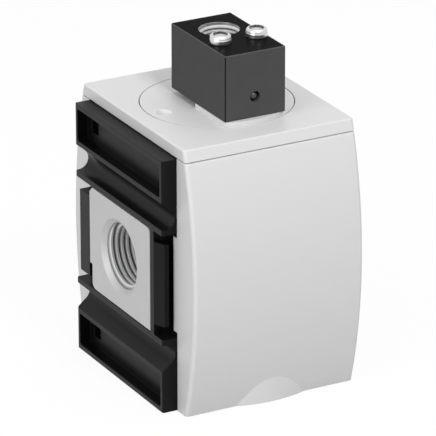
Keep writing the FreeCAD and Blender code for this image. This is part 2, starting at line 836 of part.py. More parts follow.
def pilot_piston():
    """Piston with a nut recess on top, a pocket beneath and a groove for its lip seal."""
    recess_radius = nut_across_flats / math.sqrt(3.0) + 0.5
    groove_inner = piston_radius - piston_seal_depth
    pocket_outer = groove_inner - piston_rim_thickness
    pocket_inner = recess_radius + piston_rim_thickness
    body = turned([
        (stem_thread_radius, piston_bottom),
        (pocket_inner, piston_bottom),
        (pocket_inner, piston_bottom + piston_pocket_depth),
        (pocket_outer, piston_bottom + piston_pocket_depth),
        (pocket_outer, piston_bottom),
        (piston_radius, piston_bottom),
        (piston_radius, piston_top),
        (recess_radius, piston_top),
        (recess_radius, piston_nut_seat),
        (stem_thread_radius, piston_nut_seat),
    ])
    low = piston_seal_low() - seal_groove_side_gap
    high = piston_seal_low() + piston_seal_height + seal_groove_side_gap
    groove = turned([(groove_inner, low), (piston_radius + 1.0, low),
                     (piston_radius + 1.0, high), (groove_inner, high)])
    return body.cut(groove)


def piston_seal_low():
    """Underside of the piston lip seal."""
    return (piston_bottom + piston_top - piston_seal_height) / 2.0


def piston_seal():
    """Lip seal with its open side up, towards the pilot air."""
    inner = piston_radius - piston_seal_depth
    outer = piston_radius
    low = piston_seal_low()
    high = low + piston_seal_height
    middle = (inner + outer) / 2.0
    lip = (outer - inner) / 4.0
    return turned([
        (inner, low),
        (outer, low),
        (outer, high),
        (outer - lip, high),
        (middle, low + piston_seal_height / 2.0),
        (inner + lip, high),
        (inner, high),
    ])


def exhaust_adapter():
    """Threaded adapter that carries the spring on a spider and holds the lower seat up."""
    thread_top = exhaust_thread_length
    body = turned([
        (half_inch_thread_radius, 0.0),
        (adapter_nose_radius, 0.0),
        (adapter_nose_radius, adapter_nose_height),
        (insert_radius, adapter_nose_height),
        (insert_radius, lower_seat_bottom),
        (adapter_bore_radius, lower_seat_bottom),
        (adapter_bore_radius, thread_top),
        (half_inch_thread_radius, thread_top),
    ])
    ring = turned([
        (spider_ring_inner, thread_top),
        (spider_ring_outer, thread_top),
        (spider_ring_outer, spring_seat),
        (spider_ring_inner, spring_seat),
    ])
    bar = block_between((spider_ring_outer - 0.5, adapter_bore_radius + 0.5),
                        (-spider_spoke_width / 2.0, spider_spoke_width / 2.0), (thread_top, spring_seat))
    body = body.multiFuse([ring] + around_axis(bar, spider_spoke_count))
    groove = seal_groove(insert_radius - seal_groove_depth, insert_radius + 1.0, adapter_seal_middle())
    return body.cut(groove).removeSplitter()


def adapter_seal_middle():
    """Height of the O-ring round the exhaust adapter."""
    return (spring_seat + lower_seat_bottom) / 2.0


def return_spring():
    """Compression spring with ground ends between the spider and the poppet plate."""
    overlap = spring_wire_radius / 2.0
    bottom = spring_seat - overlap + spring_wire_radius
    height = plate_bottom - spring_seat + 2.0 * overlap - 2.0 * spring_wire_radius
    helix = Part.makeHelix(height / spring_turns, height, spring_coil_radius)
    helix.translate(Vector(0, 0, bottom))
    start = helix.Edges[0].valueAt(helix.Edges[0].FirstParameter)
    tangent = helix.Edges[0].tangentAt(helix.Edges[0].FirstParameter)
    section = Part.Wire(Part.makeCircle(spring_wire_radius, start, tangent))
    coil = Part.Wire(helix.Edges).makePipeShell([section], True, True)
    room = post(spring_coil_radius + 2.0 * spring_wire_radius, spring_seat, plate_bottom)
    return coil.common(room)


def retaining_ring():
    """Open snap ring with two plier holes, under the shoulder of the exhaust adapter."""
    high = adapter_nose_height
    low = high - retaining_ring_thickness
    outer = insert_bore_radius + retaining_groove_depth - static_gap
    ring = post(outer, low, high).cut(post(retaining_ring_inner, low, high))
    ring = ring.cut(sector(outer + 1.0, low - 1.0, high + 1.0, retaining_ring_opening))
    eye_at = (outer + retaining_ring_inner) / 2.0
    for side in (-1.0, 1.0):
        angle = math.radians(side * (retaining_ring_opening / 2.0 + 6.0))
        ring = ring.cut(post(retaining_ring_eye, low, high, eye_at * math.cos(angle), eye_at * math.sin(angle)))
    return ring


# Pilot end

def pad_strip(z_low, z_high):
    """Pad under the front of the block, bounded by the rim of the disc."""
    strip = block_between((block_centre_x - block_width / 2.0, block_centre_x + block_width / 2.0),
                          (-disc_radius, pad_rear_y), (z_low, z_high))
    return strip.common(post(disc_radius - pad_rim, z_low, z_high))


def pilot_disc():
    """Bayonet disc in the lid with the pad, two spanner dimples and the pilot feed hole."""
    plug_edge = 0.5
    disc = turned([
        (0.0, plug_bottom),
        (plug_radius - plug_edge, plug_bottom),
        (plug_radius, plug_bottom + plug_edge),
        (plug_radius, body_height),
        (disc_radius, body_height),
        (disc_radius, total_height),
        (0.0, total_height),
    ])
    lug = sector(bayonet_lug_radius, bayonet_lug_top - bayonet_lug_height, bayonet_lug_top - static_gap,
                 bayonet_lug_angle, plug_radius - 1.0)
    disc = disc.multiFuse(around_axis(lug, bayonet_count) + [pad_strip(total_height, pad_top)])
    ball_radius = (dimple_radius ** 2 + dimple_depth ** 2) / (2.0 * dimple_depth)
    ball = Part.makeSphere(ball_radius, Vector(dimple_from_axis, 0, total_height + ball_radius - dimple_depth))
    for dimple in around_axis(ball, 2, dimple_angle):
        disc = disc.cut(dimple)
    disc = disc.cut(seal_groove(plug_radius - seal_groove_depth, plug_radius + 1.0, disc_seal_middle()))
    disc = disc.cut(post(feed_hole_radius, plug_bottom - 1.0, pad_top + 1.0, block_centre_x, feed_hole_y))
    for x in block_screw_x:
        disc = disc.cut(post(screw_radius, pad_top - screw_grip_in_disc, pad_top + 1.0, x, block_screw_y))
    return disc.removeSplitter()


def disc_seal_middle():
    """Height of the O-ring round the plug of the pilot disc."""
    lug_bottom = bayonet_lug_top - bayonet_lug_height
    return (plug_bottom + lug_bottom) / 2.0


def pilot_block():
    """Machined block with the pilot port, a cross drill, a feed hole and two screw holes."""
    block = block_between((block_centre_x - block_width / 2.0, block_centre_x + block_width / 2.0),
                          (block_front_y, block_rear_y), (pad_top, block_top))
    block = block.makeChamfer(block_edge, block.Edges)
    port_bottom = block_top - pilot_thread_length
    block = block.cut(post(quarter_inch_thread_radius, port_bottom, block_top + 1.0,
                           block_centre_x, pilot_port_y))
    mouth = Part.makeCone(quarter_inch_thread_radius, quarter_inch_thread_radius + 0.5, 0.5,
                          Vector(block_centre_x, pilot_port_y, block_top - 0.5))
    point = Part.makeCone(0.0, cross_drill_radius, cross_drill_radius / 2.0,
                          Vector(block_centre_x, pilot_port_y, cross_drill_z - cross_drill_radius / 2.0))
    drop = post(cross_drill_radius, cross_drill_z, port_bottom, block_centre_x, pilot_port_y)
    cross = bar_along(cross_drill_radius, Vector(block_centre_x, block_front_y - 1.0, cross_drill_z),
                      Vector(0, 1, 0), pilot_port_y - block_front_y + 1.0)
    feed = post(feed_hole_radius, pad_top - 1.0, cross_drill_z, block_centre_x, feed_hole_y)
    seal_room = post(face_seal_radius + 2.0 * face_seal_section, pad_top - 1.0,
                     pad_top + 2.0 * face_seal_section, block_centre_x, feed_hole_y)
    block = block.cut(mouth).cut(point).cut(drop).cut(cross).cut(feed).cut(seal_room)
    for x in block_screw_x:
        block = block.cut(post(screw_hole_radius, pad_top - 1.0, block_top + 1.0, x, block_screw_y))
    return block.removeSplitter()


def block_seal():
    """Face seal between the block and the pad, round the feed hole."""
    return Part.makeTorus(face_seal_radius + face_seal_section - static_gap, face_seal_section,
                          Vector(block_centre_x, feed_hole_y, pad_top + face_seal_section))


def cross_drill_ball():
    """Steel ball pressed into the mouth of the cross drill."""
    return Part.makeSphere(cross_drill_radius,
                           Vector(block_centre_x, block_front_y + cross_drill_radius + 0.4, cross_drill_z))


def block_screw(x):
    """Pan-head screw with a six-lobed recess."""
    low = pad_top - screw_grip_in_disc + thread_end_length
    head_top = block_top + screw_head_height
    screw = Part.makeCylinder(screw_radius, block_top - low, Vector(0, 0, low))
    head = Part.makeCylinder(screw_head_radius, screw_head_height, Vector(0, 0, block_top))
    head = fillet_where(head, screw_head_edge, lambda box: box.ZMin > head_top - 0.01)
    screw = screw.fuse(head)
    recess_low = head_top - screw_recess_depth
    recess = post(screw_recess_radius, recess_low, head_top)
    lobe = post(screw_recess_radius / 3.0, recess_low, head_top, screw_recess_radius, 0.0)
    recess = recess.multiFuse(around_axis(lobe, 6))
    screw = screw.cut(recess).removeSplitter()
    screw.translate(Vector(x, block_screw_y, 0))
    return screw


def build():
    """All pieces by node name."""
    cover = front_cover()
    return {
        "valve_housing": valve_housing(),
        "front_cover": cover,
        "rear_cover": half_turn(cover),
        "top_lid": top_lid(),
        "left_port_plate": on_left(port_plate(left_sleeve_length)),
        "left_port_seal": on_left(port_seal(left_sleeve_length)),
        "right_port_plate": on_right(port_plate(right_sleeve_length)),
        "right_port_seal": on_right(port_seal(right_sleeve_length)),
        "upper_seat": seat_ring(upper_ledge, 1.0),
        "upper_seat_seal": insert_seal(upper_ledge + seat_ring_thickness / 2.0),
        "lower_seat": seat_ring(lower_ledge, -1.0),
        "lower_seat_seal": insert_seal(lower_ledge - seat_ring_thickness / 2.0),
        "stem_guide": stem_guide(),
        "stem_guide_seal": insert_seal(guide_seal_middle()),
        "stem_seal": ring_seal(guide_bore_radius, stem_seal_middle()),
        "valve_stem": valve_stem(),
        "poppet_plate": poppet_plate(),
        "poppet_upper_facing": poppet_facing(plate_top),
        "poppet_lower_facing": poppet_facing(poppet_bottom),
        "poppet_nut": hex_nut(plate_bottom - nut_height),
        "pilot_piston": pilot_piston(),
        "piston_seal": piston_seal(),
        "piston_nut": hex_nut(piston_nut_seat),
        "return_spring": return_spring(),
        "exhaust_adapter": exhaust_adapter(),
        "exhaust_adapter_seal": insert_seal(adapter_seal_middle()),
        "retaining_ring": retaining_ring(),
        "pilot_disc": pilot_disc(),
        "pilot_disc_seal": ring_seal(plug_radius - seal_groove_depth, disc_seal_middle()),
        "pilot_block": pilot_block(),
        "pilot_block_seal": block_seal(),
        "cross_drill_ball": cross_drill_ball(),
        "pilot_block_screws": Part.makeCompound([block_screw(x) for x in block_screw_x]),
    }


os.makedirs("parts", exist_ok=True)
for node_name, shape in build().items():
    shape.exportStep("parts/" + node_name + ".step")
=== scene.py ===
"""Looks of a piloted poppet valve module, built round its construction model.

Every length is in metres, in the frame of the construction model: X along the line of modules,
-Y the front, +Z up, with the origin at the mouth of the exhaust port.
"""

from __future__ import annotations

import json
import logging
import math
from dataclasses import dataclass
from enum import Enum
from typing import Any, Callable, Sequence

import bmesh
import bpy
from mathutils import Matrix, Vector

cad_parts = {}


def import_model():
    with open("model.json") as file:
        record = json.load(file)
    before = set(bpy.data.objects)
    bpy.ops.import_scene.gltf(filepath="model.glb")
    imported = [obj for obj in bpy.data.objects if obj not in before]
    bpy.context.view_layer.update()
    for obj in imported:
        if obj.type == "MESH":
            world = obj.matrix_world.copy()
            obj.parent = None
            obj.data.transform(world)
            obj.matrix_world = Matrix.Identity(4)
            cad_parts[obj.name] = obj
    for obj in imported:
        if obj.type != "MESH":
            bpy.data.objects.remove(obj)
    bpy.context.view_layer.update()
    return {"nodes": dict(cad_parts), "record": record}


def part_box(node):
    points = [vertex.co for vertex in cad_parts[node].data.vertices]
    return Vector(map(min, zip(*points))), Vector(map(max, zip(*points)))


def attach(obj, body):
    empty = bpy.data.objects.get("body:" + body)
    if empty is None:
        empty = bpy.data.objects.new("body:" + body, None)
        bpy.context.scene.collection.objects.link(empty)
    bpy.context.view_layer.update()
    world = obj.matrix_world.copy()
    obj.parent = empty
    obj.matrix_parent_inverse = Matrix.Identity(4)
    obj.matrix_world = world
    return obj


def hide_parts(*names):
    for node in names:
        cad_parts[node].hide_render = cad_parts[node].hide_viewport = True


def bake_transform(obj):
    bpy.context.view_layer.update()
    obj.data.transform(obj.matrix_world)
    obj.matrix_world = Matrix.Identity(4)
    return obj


LOG = logging.getLogger("valve")
MM = 0.001
FIXED_BODY = "body"
PAINTED_SHADE = "recess"  # mesh attribute that is 1 where painted shade darkens the colour, in screw recesses and thread valleys
MIX_LOW, MIX_HIGH, MIX_RESULT = 6, 7, 2  # sockets of a Mix node in colour mode
WELD = 0.001 * MM  # points closer than this become one
TOUCH = 0.01 * MM  # play in tests on a point's place
ROUNDED_FROM = math.radians(35.0)  # least angle of an edge that is rounded
STRIPED_UP = (1.0, 1.0, 0.05)  # noise drawn out along Z
RINGED = (0.2, 0.2, 1.0)  # noise drawn out across Z

Colour = tuple[float, float, float, float]


def grey(level: float) -> Colour:
    """Neutral colour of a linear level."""
    return (level, level, level, 1.0)


# Node trees


class Number:
    """One number socket of a node tree, with arithmetic that adds Math nodes."""

    def __init__(self, graph: "Graph", socket: Any) -> None:
        """Wrap an output socket of a graph that carries one number."""
        self.graph = graph
        self.socket = socket

    def combine(self, operation: str, *others: Any) -> "Number":
        """Result of a Math node on this number and others, plain or wrapped."""
        node = self.graph.node("ShaderNodeMath", {"operation": operation})
        for slot, value in enumerate((self, *others)):
            self.graph.feed(node.inputs[slot], value)
        return Number(self.graph, node.outputs[0])

    def __add__(self, other: Any) -> "Number":
        """Sum."""
        return self.combine("ADD", other)

    __radd__ = __add__

    def __sub__(self, other: Any) -> "Number":
        """Difference."""
        return self.combine("SUBTRACT", other)

    def __rsub__(self, other: Any) -> "Number":
        """Difference from a plain number."""
        return -self + other

    def __mul__(self, other: Any) -> "Number":
        """Product."""
        return self.combine("MULTIPLY", other)

    __rmul__ = __mul__

    def __truediv__(self, other: Any) -> "Number":
        """Quotient."""
        return self.combine("DIVIDE", other)

    def __neg__(self) -> "Number":
        """Opposite number."""
        return self.combine("MULTIPLY", -1.0)

    def root(self) -> "Number":
        """Square root."""
        return self.combine("SQRT")

    def __abs__(self) -> "Number":
        """Size without its sign."""
        return self.combine("ABSOLUTE")

    def at_most(self, limit: float) -> "Number":
        """The number, or the limit where it is larger."""
        return self.combine("MINIMUM", limit)

    def step_between(self, low: float, high: float) -> "Number":
        """Smooth step from 0 at low to 1 at high."""
        node = self.graph.node(
            "ShaderNodeMapRange",
            {"interpolation_type": "SMOOTHSTEP"},
            {"Value": self, "From Min": low, "From Max": high},
        )
        return Number(self.graph, node.outputs["Result"])


class Graph:
    """A material or geometry node tree, filled by node type, settings and inputs."""

    def __init__(self, tree: bpy.types.NodeTree) -> None:
        """Wrap an empty tree."""
        self.tree = tree

    def node(self, kind: str, settings: dict[str, Any] | None = None,
             inputs: dict[Any, Any] | None = None) -> bpy.types.Node:
        """Add one node.

        Args:
            kind: The node's type name.
            settings: Attributes that are set before the sockets.
            inputs: Values, wrapped numbers or sockets by input name or place.

        Returns:
            The new node.
        """
        made = self.tree.nodes.new(kind)
        for name, value in (settings or {}).items():
            setattr(made, name, value)
        for name, value in (inputs or {}).items():
            self.feed(made.inputs[name], value)
        return made

    def feed(self, socket: bpy.types.NodeSocket, value: Any) -> None:
        """Set a socket to a value, or link it to another socket."""
        if isinstance(value, Number):
            value = value.socket
        if isinstance(value, bpy.types.NodeSocket):
            self.tree.links.new(value, socket)
        else:
            socket.default_value = value

    def number(self, socket: bpy.types.NodeSocket) -> Number:
        """Wrap an output socket for arithmetic."""
        return Number(self, socket)


class SurfaceGraph(Graph):
    """A material tree that ends in a Principled shader and reads Object coordinates."""

    edge_samples = 6

    def __init__(self, name: str) -> None:
        """Create the material and its shader."""
        self.material = bpy.data.materials.new(name)
        self.material.use_nodes = True
        super().__init__(self.material.node_tree)
        self.tree.nodes.clear()
        self.shader = self.node("ShaderNodeBsdfPrincipled")
        output = self.node("ShaderNodeOutputMaterial")
        self.tree.links.new(self.shader.outputs["BSDF"], output.inputs["Surface"])
        self.place = self.node("ShaderNodeTexCoord").outputs["Object"]

    def surface(self, socket: str, value: Any) -> None:
        """Feed or set one socket of the shader."""
        self.feed(self.shader.inputs[socket], value)

    def noise(self, size: float, detail: float,
              stretch: Sequence[float] = (1.0, 1.0, 1.0)) -> Number:
        """Noise from 0 to 1 on Object coordinates.

        Args:
            size: Size of its largest cells.
            detail: Octaves.
            stretch: Factor on the frequency along X, Y and Z.

        Returns:
            The noise factor.
        """
        mapping = self.node("ShaderNodeMapping", None, {
            "Vector": self.place, "Scale": tuple(stretch)})
        texture = self.node("ShaderNodeTexNoise", {"noise_dimensions": "3D"}, {
            "Vector": mapping.outputs["Vector"], "Scale": 1.0 / size, "Detail": detail})
        return self.number(texture.outputs["Fac"])

    def blend(self, factor: Any, low: Any, high: Any) -> bpy.types.NodeSocket:
        """Mix two colours by a factor."""
        node = self.node("ShaderNodeMix", {"data_type": "RGBA"})
        self.feed(node.inputs["Factor"], factor)
        self.feed(node.inputs[MIX_LOW], low)
        self.feed(node.inputs[MIX_HIGH], high)
        return node.outputs[MIX_RESULT]

    def with_painted_shade(self, plain: Any, dark: Any) -> bpy.types.NodeSocket:
        """Paint shade into a colour where the mesh carries the painted-shade attribute."""
        share = self.node("ShaderNodeAttribute", {"attribute_name": PAINTED_SHADE}).outputs["Fac"]
        return self.blend(share, plain, dark)

    def relief(self, height: Number, depth: float, edge: float) -> None:
        """Feed the Normal socket with a bump, over softened edges.

        Args:
            height: Pattern from 0 to 1.
            depth: Height of the pattern.
            edge: Radius by which sharp edges are softened, or 0.
        """
        inputs: dict[str, Any] = {"Height": height, "Distance": depth, "Strength": 1.0}
        if edge > 0.0:
            soft = self.node("ShaderNodeBevel", {"samples": self.edge_samples}, {"Radius": edge})
            inputs["Normal"] = soft.outputs["Normal"]
        bump = self.node("ShaderNodeBump", None, inputs)
        self.surface("Normal", bump.outputs["Normal"])


# Finishes


@dataclass(frozen=True)
class MouldedPlastic:
    """Injection-moulded plastic with a fine spark-eroded grain."""

    name: str
    level: float
    roughness: float
    grain: float = 0.25 * MM
    grain_depth: float = 0.006 * MM
    mottle: float = 0.04
    specular: float = 0.5
    edge: float = 0.2 * MM
    mottle_size: float = 9.0 * MM
    roughness_swing: float = 0.1

    def material(self) -> bpy.types.Material:
        """Build the material."""
        graph = SurfaceGraph(self.name)
        mottling = graph.noise(self.mottle_size, detail=4.0)
        fine = graph.noise(self.grain, detail=2.0)
        low = grey(self.level * (1.0 - self.mottle))
        high = grey(self.level * (1.0 + self.mottle))
        rough = self.roughness + self.roughness_swing * (mottling - 0.5)
        graph.surface("Base Color", graph.blend(mottling, low, high))
        graph.surface("Roughness", rough)
        graph.surface("Specular IOR Level", self.specular)
        graph.relief(fine, self.grain_depth, self.edge)
        return graph.material


@dataclass(frozen=True)
class CastMetal:
    """Die-cast metal with a soft casting skin, clouded brightness and painted shade where the mesh
    carries the shade attribute.
    """

    name: str
    level: float
    roughness: float
    metallic: float
    grain: float = 0.5 * MM
    grain_depth: float = 0.008 * MM
    edge: float = 0.2 * MM
    painted_shade_level: float = 0.08
    cloud_size: float = 6.0 * MM
    dull_share: float = 0.94
    bright_share: float = 1.05
    roughness_swing: float = 0.12

    def material(self) -> bpy.types.Material:
        """Build the material."""
        graph = SurfaceGraph(self.name)
        cloud = graph.noise(self.cloud_size, detail=5.0)
        skin = graph.noise(self.grain, detail=3.0)
        dull, bright = grey(self.level * self.dull_share), grey(self.level * self.bright_share)
        # Painted shade: the colour darkens where the mesh carries the shade attribute.
        colour = graph.with_painted_shade(graph.blend(cloud, dull, bright), grey(self.painted_shade_level))
        rough = self.roughness + self.roughness_swing * (cloud - 0.5)
        graph.surface("Base Color", colour)
        graph.surface("Roughness", rough)
        graph.surface("Metallic", self.metallic)
        graph.relief(skin, self.grain_depth, self.edge)
        return graph.material


@dataclass(frozen=True)
class AnodisedBlock:
    """Black anodised aluminium: satin sides, a glossier milled top painted near black as painted
    shade, and painted highlights along its top edges.
    """

    name: str
    side_level: float
    # Painted shade: the top is painted near black, standing in for the dark reflection it shows.
    top_level: float
    # Colour of the painted highlight along the top edges.
    edge_highlight_level: float
    side_roughness: float = 0.42
    top_roughness: float = 0.24
    specular: float = 0.006
    centre: tuple[float, float, float] = (1.4 * MM, -4.4 * MM, 97.8 * MM)
    half_size: tuple[float, float, float] = (10.3 * MM, 17.2 * MM, 10.5 * MM)
    edge: float = 0.25 * MM
    edge_fringe: float = 0.06 * MM
    top_fringe: tuple[float, float] = (0.12 * MM, 0.02 * MM)
    upper_from: float = 1.0 * MM
    drawn_size: float = 0.35 * MM
    drawn_depth: float = 0.003 * MM
    soft_edge: float = 0.12 * MM
    cloud_size: float = 5.0 * MM
    cloud_share: float = 0.07
    least_highlight: float = 0.6
    roughness_swing: float = 0.08

    def material(self) -> bpy.types.Material:
        """Build the material."""
        graph = SurfaceGraph(self.name)
        parts = graph.node("ShaderNodeSeparateXYZ", None, {0: graph.place})
        offsets = [graph.number(parts.outputs[axis]) - middle
                   for axis, middle in zip("XYZ", self.centre)]
        inner, outer = -self.edge - self.edge_fringe, -self.edge + self.edge_fringe
        near_x, near_y, near_z = (abs(offset).step_between(half + inner, half + outer)
                                  for offset, half in zip(offsets, self.half_size))
        # Painted highlight: the chamfers along the top edges are painted lighter, standing in for
        # the lamp's highlight on them.
        upper = offsets[2].step_between(0.0, self.upper_from)
        painted_edge_highlight = upper * ((near_y + near_x).at_most(1.0) * near_z)
        # The upright chamfers take the top's near-black colour.
        dark = near_x * near_y * (1.0 - near_z)
        # Painted shade: the top is painted near black, standing in for the dark reflection it
        # shows; its lower roughness is the finish of the milled top.
        low, high = (self.half_size[2] - fringe for fringe in self.top_fringe)
        top = offsets[2].step_between(low, high)
        drawn = graph.noise(self.drawn_size, detail=2.0, stretch=STRIPED_UP)
        cloud = graph.noise(self.cloud_size, detail=3.0)
        side = graph.blend(cloud, grey(self.side_level * (1.0 - self.cloud_share)),
                           grey(self.side_level * (1.0 + self.cloud_share)))
        plain = graph.blend((top + dark).at_most(1.0), side, grey(self.top_level))
        # The painted highlight is clouded, and never weaker than its least share.
        highlight_share = painted_edge_highlight * (self.least_highlight + (1.0 - self.least_highlight) * cloud)
        colour = graph.blend(highlight_share, plain, grey(self.edge_highlight_level))
        rough = self.side_roughness + (self.top_roughness - self.side_roughness) * top
        graph.surface("Base Color", colour)
        graph.surface("Roughness", rough + self.roughness_swing * (drawn - 0.5))
        graph.surface("Specular IOR Level", self.specular)
        graph.relief(drawn, self.drawn_depth, self.soft_edge)
        return graph.material


@dataclass(frozen=True)
class TurnedMetal:
    """Turned or drawn bright metal with fine tool marks and painted shade where the mesh carries
    the shade attribute.
    """

    name: str
    colour: Colour
    roughness: float
    mark: float = 0.12 * MM
    mark_depth: float = 0.002 * MM
    painted_shade_level: float = 0.1
    edge: float = 0.08 * MM
    cloud_size: float = 3.0 * MM
    dull_share: float = 0.82
    roughness_swing: float = 0.12

    def material(self) -> bpy.types.Material:
        """Build the material."""
        graph = SurfaceGraph(self.name)
        cloud = graph.noise(self.cloud_size, detail=3.0)
        marks = graph.noise(self.mark, detail=2.0, stretch=RINGED)
        dull = tuple(self.dull_share * channel for channel in self.colour[:3]) + (1.0,)
        # Painted shade: the colour darkens where the mesh carries the shade attribute.
        colour = graph.with_painted_shade(graph.blend(cloud, dull, self.colour), grey(self.painted_shade_level))
        rough = self.roughness + self.roughness_swing * (cloud - 0.5)
        graph.surface("Base Color", colour)
        graph.surface("Roughness", rough)
        graph.surface("Metallic", 1.0)
        graph.relief(marks, self.mark_depth, self.edge)
        return graph.material


class Finish(Enum):
    """The finishes of the valve: the record's material slots, and the cut threads."""

    BLACK_PLASTIC = MouldedPlastic(
        "black_plastic", level=0.004, roughness=0.36, grain=0.3 * MM, grain_depth=0.008 * MM,
        mottle=0.15, specular=0.13, edge=0.25 * MM)
    COVER_PLASTIC = MouldedPlastic(
        "cover_plastic", level=0.67, roughness=0.42, grain=0.22 * MM, grain_depth=0.004 * MM,
        mottle=0.012, specular=0.35, edge=0.15 * MM)
    INNER_PLASTIC = MouldedPlastic("inner_plastic", level=0.7, roughness=0.4)
    CAST_ZINC = CastMetal("cast_zinc", level=0.55, roughness=0.6, metallic=0.5)
    CUT_THREAD = CastMetal(
        "cut_thread", level=0.85, roughness=0.35, metallic=0.35, grain=0.2 * MM,
        grain_depth=0.003 * MM, edge=0.08 * MM)
    PLAIN_ALUMINIUM = TurnedMetal("plain_aluminium", grey(0.7), roughness=0.3)
    # Its top level is painted shade and its edge level a painted highlight.
    BLACK_ANODISED = AnodisedBlock(
        "black_anodised", side_level=0.0735, top_level=0.003, edge_highlight_level=0.1)
    TURNED_BRASS = TurnedMetal("turned_brass", (0.72, 0.52, 0.24, 1.0), roughness=0.3)
    BRIGHT_STEEL = TurnedMetal("bright_steel", grey(0.74), roughness=0.3)
    SPRING_STEEL = TurnedMetal("spring_steel", grey(0.1), roughness=0.35)
    SEAL_RUBBER = MouldedPlastic(
        "seal_rubber", level=0.012, roughness=0.62, grain=0.5 * MM, grain_depth=0.004 * MM,
        mottle=0.1, specular=0.25, edge=0.0)


class Paint:
    """Builds each finish once and puts it on objects."""

    def __init__(self) -> None:
        """Start with no material built."""
        self.made: dict[Finish, bpy.types.Material] = {}

    def material(self, finish: Finish) -> bpy.types.Material:
        """Material of a finish."""
        if finish not in self.made:
            self.made[finish] = finish.value.material()
        return self.made[finish]

    def dress(self, obj: bpy.types.Object, finish: Finish) -> None:
        """Give an object one finish in all its material slots."""
        material = self.material(finish)
        if not obj.material_slots:
            obj.data.materials.append(material)
        for slot in obj.material_slots:
            slot.link = "OBJECT"
            slot.material = material


# Making meshes


def new_object(name: str, data: Any) -> bpy.types.Object:
    """Make an object at the origin, in the scene."""
    obj = bpy.data.objects.new(name, data)
    bpy.context.scene.collection.objects.link(obj)
    return obj


class GeometryGraph(Graph):
    """A Geometry Nodes tree with named number inputs."""

    def __init__(self, name: str, inputs: Sequence[str]) -> None:
        """Create the tree and its interface, with number inputs by name."""
        tree = bpy.data.node_groups.new(name, "GeometryNodeTree")
        super().__init__(tree)
        tree.interface.new_socket("Geometry", in_out="OUTPUT", socket_type="NodeSocketGeometry")
        for title in inputs:
            tree.interface.new_socket(title, in_out="INPUT", socket_type="NodeSocketFloat")
        self.entry = self.node("NodeGroupInput")

    def size(self, title: str) -> Number:
        """Named input as a number."""
        return self.number(self.entry.outputs[title])

    def sizes(self, *titles: str) -> list[Number]:
        """Named inputs as numbers."""
        return [self.size(title) for title in titles]

    def position(self) -> list[Number]:
        """X, Y and Z of each point."""
        place = self.node("GeometryNodeInputPosition")
        parts = self.node("ShaderNodeSeparateXYZ", None, {0: place.outputs[0]})
        return [self.number(parts.outputs[axis]) for axis in "XYZ"]

    def vector(self, **parts: Any) -> bpy.types.NodeSocket:
        """Vector of the given parts X, Y and Z, with 0 for any other."""
        return self.node("ShaderNodeCombineXYZ", None, parts).outputs["Vector"]

    def set_position(self, geometry: Any, place: Any) -> bpy.types.NodeSocket:
        """Geometry with each point at a new place."""
        node = self.node("GeometryNodeSetPosition", None, {
            "Geometry": geometry, "Position": place})
        return node.outputs["Geometry"]

    def shift(self, geometry: Any, offset: Any) -> bpy.types.NodeSocket:
        """Geometry moved by an offset."""
        node = self.node("GeometryNodeTransform", None, {
            "Geometry": geometry, "Translation": offset})
        return node.outputs["Geometry"]

    def mark_painted_shade(self, geometry: Any, share: Number) -> bpy.types.NodeSocket:
        """Geometry with the painted-shade attribute on its points."""
        node = self.node(
            "GeometryNodeStoreNamedAttribute", {"data_type": "FLOAT", "domain": "POINT"},
            {"Geometry": geometry, "Name": PAINTED_SHADE, "Value": share})
        return node.outputs["Geometry"]

    def box(self, x: Sequence[Any], y: Sequence[Any], z: Sequence[Any]) -> bpy.types.NodeSocket:
        """Box between two values on each axis."""
        spans = dict(zip("XYZ", (x, y, z)))
        size = self.vector(**{axis: high - low for axis, (low, high) in spans.items()})
        middle = self.vector(**{axis: 0.5 * (low + high) for axis, (low, high) in spans.items()})
        cube = self.node("GeometryNodeMeshCube", None, {"Size": size})
        return self.shift(cube.outputs["Mesh"], middle)

    def cylinder(self, radius: Number, length: Number, steps: int) -> bpy.types.NodeSocket:
        """Cylinder about Z, with its middle at the origin."""
        node = self.node("GeometryNodeMeshCylinder", None, {
            "Vertices": steps, "Radius": radius, "Depth": length})
        return node.outputs["Mesh"]

    def helix(self, radius: Number, turns: Number, height: Number,
              steps: int) -> bpy.types.NodeSocket:
        """Curve that climbs round Z, with a number of steps in each turn."""
        node = self.node("GeometryNodeCurveSpiral", None, {
            "Resolution": steps, "Rotations": turns, "Start Radius": radius,
            "End Radius": radius, "Height": height})
        return node.outputs["Curve"]

    def sweep(self, curve: Any, section: Any, **inputs: Any) -> bpy.types.NodeSocket:
        """Closed mesh of a section led along a curve."""
        node = self.node("GeometryNodeCurveToMesh", None, {
            "Curve": curve, "Profile Curve": section, "Fill Caps": True, **inputs})
        return node.outputs["Mesh"]

    def solid(self, operation: str, first: Any, second: Any) -> bpy.types.NodeSocket:
        """Union or intersection of two solids, or the first without the second."""
        node = self.node("GeometryNodeMeshBoolean", {"operation": operation, "solver": "EXACT"})
        base = "Mesh 1" if operation == "DIFFERENCE" else "Mesh 2"
        self.tree.links.new(first, node.inputs[base])
        self.tree.links.new(second, node.inputs["Mesh 2"])
        return node.outputs["Mesh"]

    def close(self, geometry: bpy.types.NodeSocket, material: bpy.types.Material) -> None:
        """End the tree in Realize Instances and Set Material."""
        real = self.node("GeometryNodeRealizeInstances", None, {"Geometry": geometry})
        painted = self.node("GeometryNodeSetMaterial", None, {
            "Geometry": real.outputs["Geometry"], "Material": material})
        output = self.node("NodeGroupOutput")
        self.tree.links.new(painted.outputs["Geometry"], output.inputs["Geometry"])

    def run(self, name: str, values: dict[str, float]) -> bpy.types.Object:
        """Plain mesh object at the origin, made from the tree with values for its inputs."""
        obj = new_object(name, bpy.data.meshes.new(name))
        modifier = obj.modifiers.new("shape", "NODES")
        modifier.node_group = self.tree
        for item in self.tree.interface.items_tree:
            if item.in_out == "INPUT" and item.name in values:
                modifier[item.identifier] = values[item.name]
        return apply_modifiers(obj)


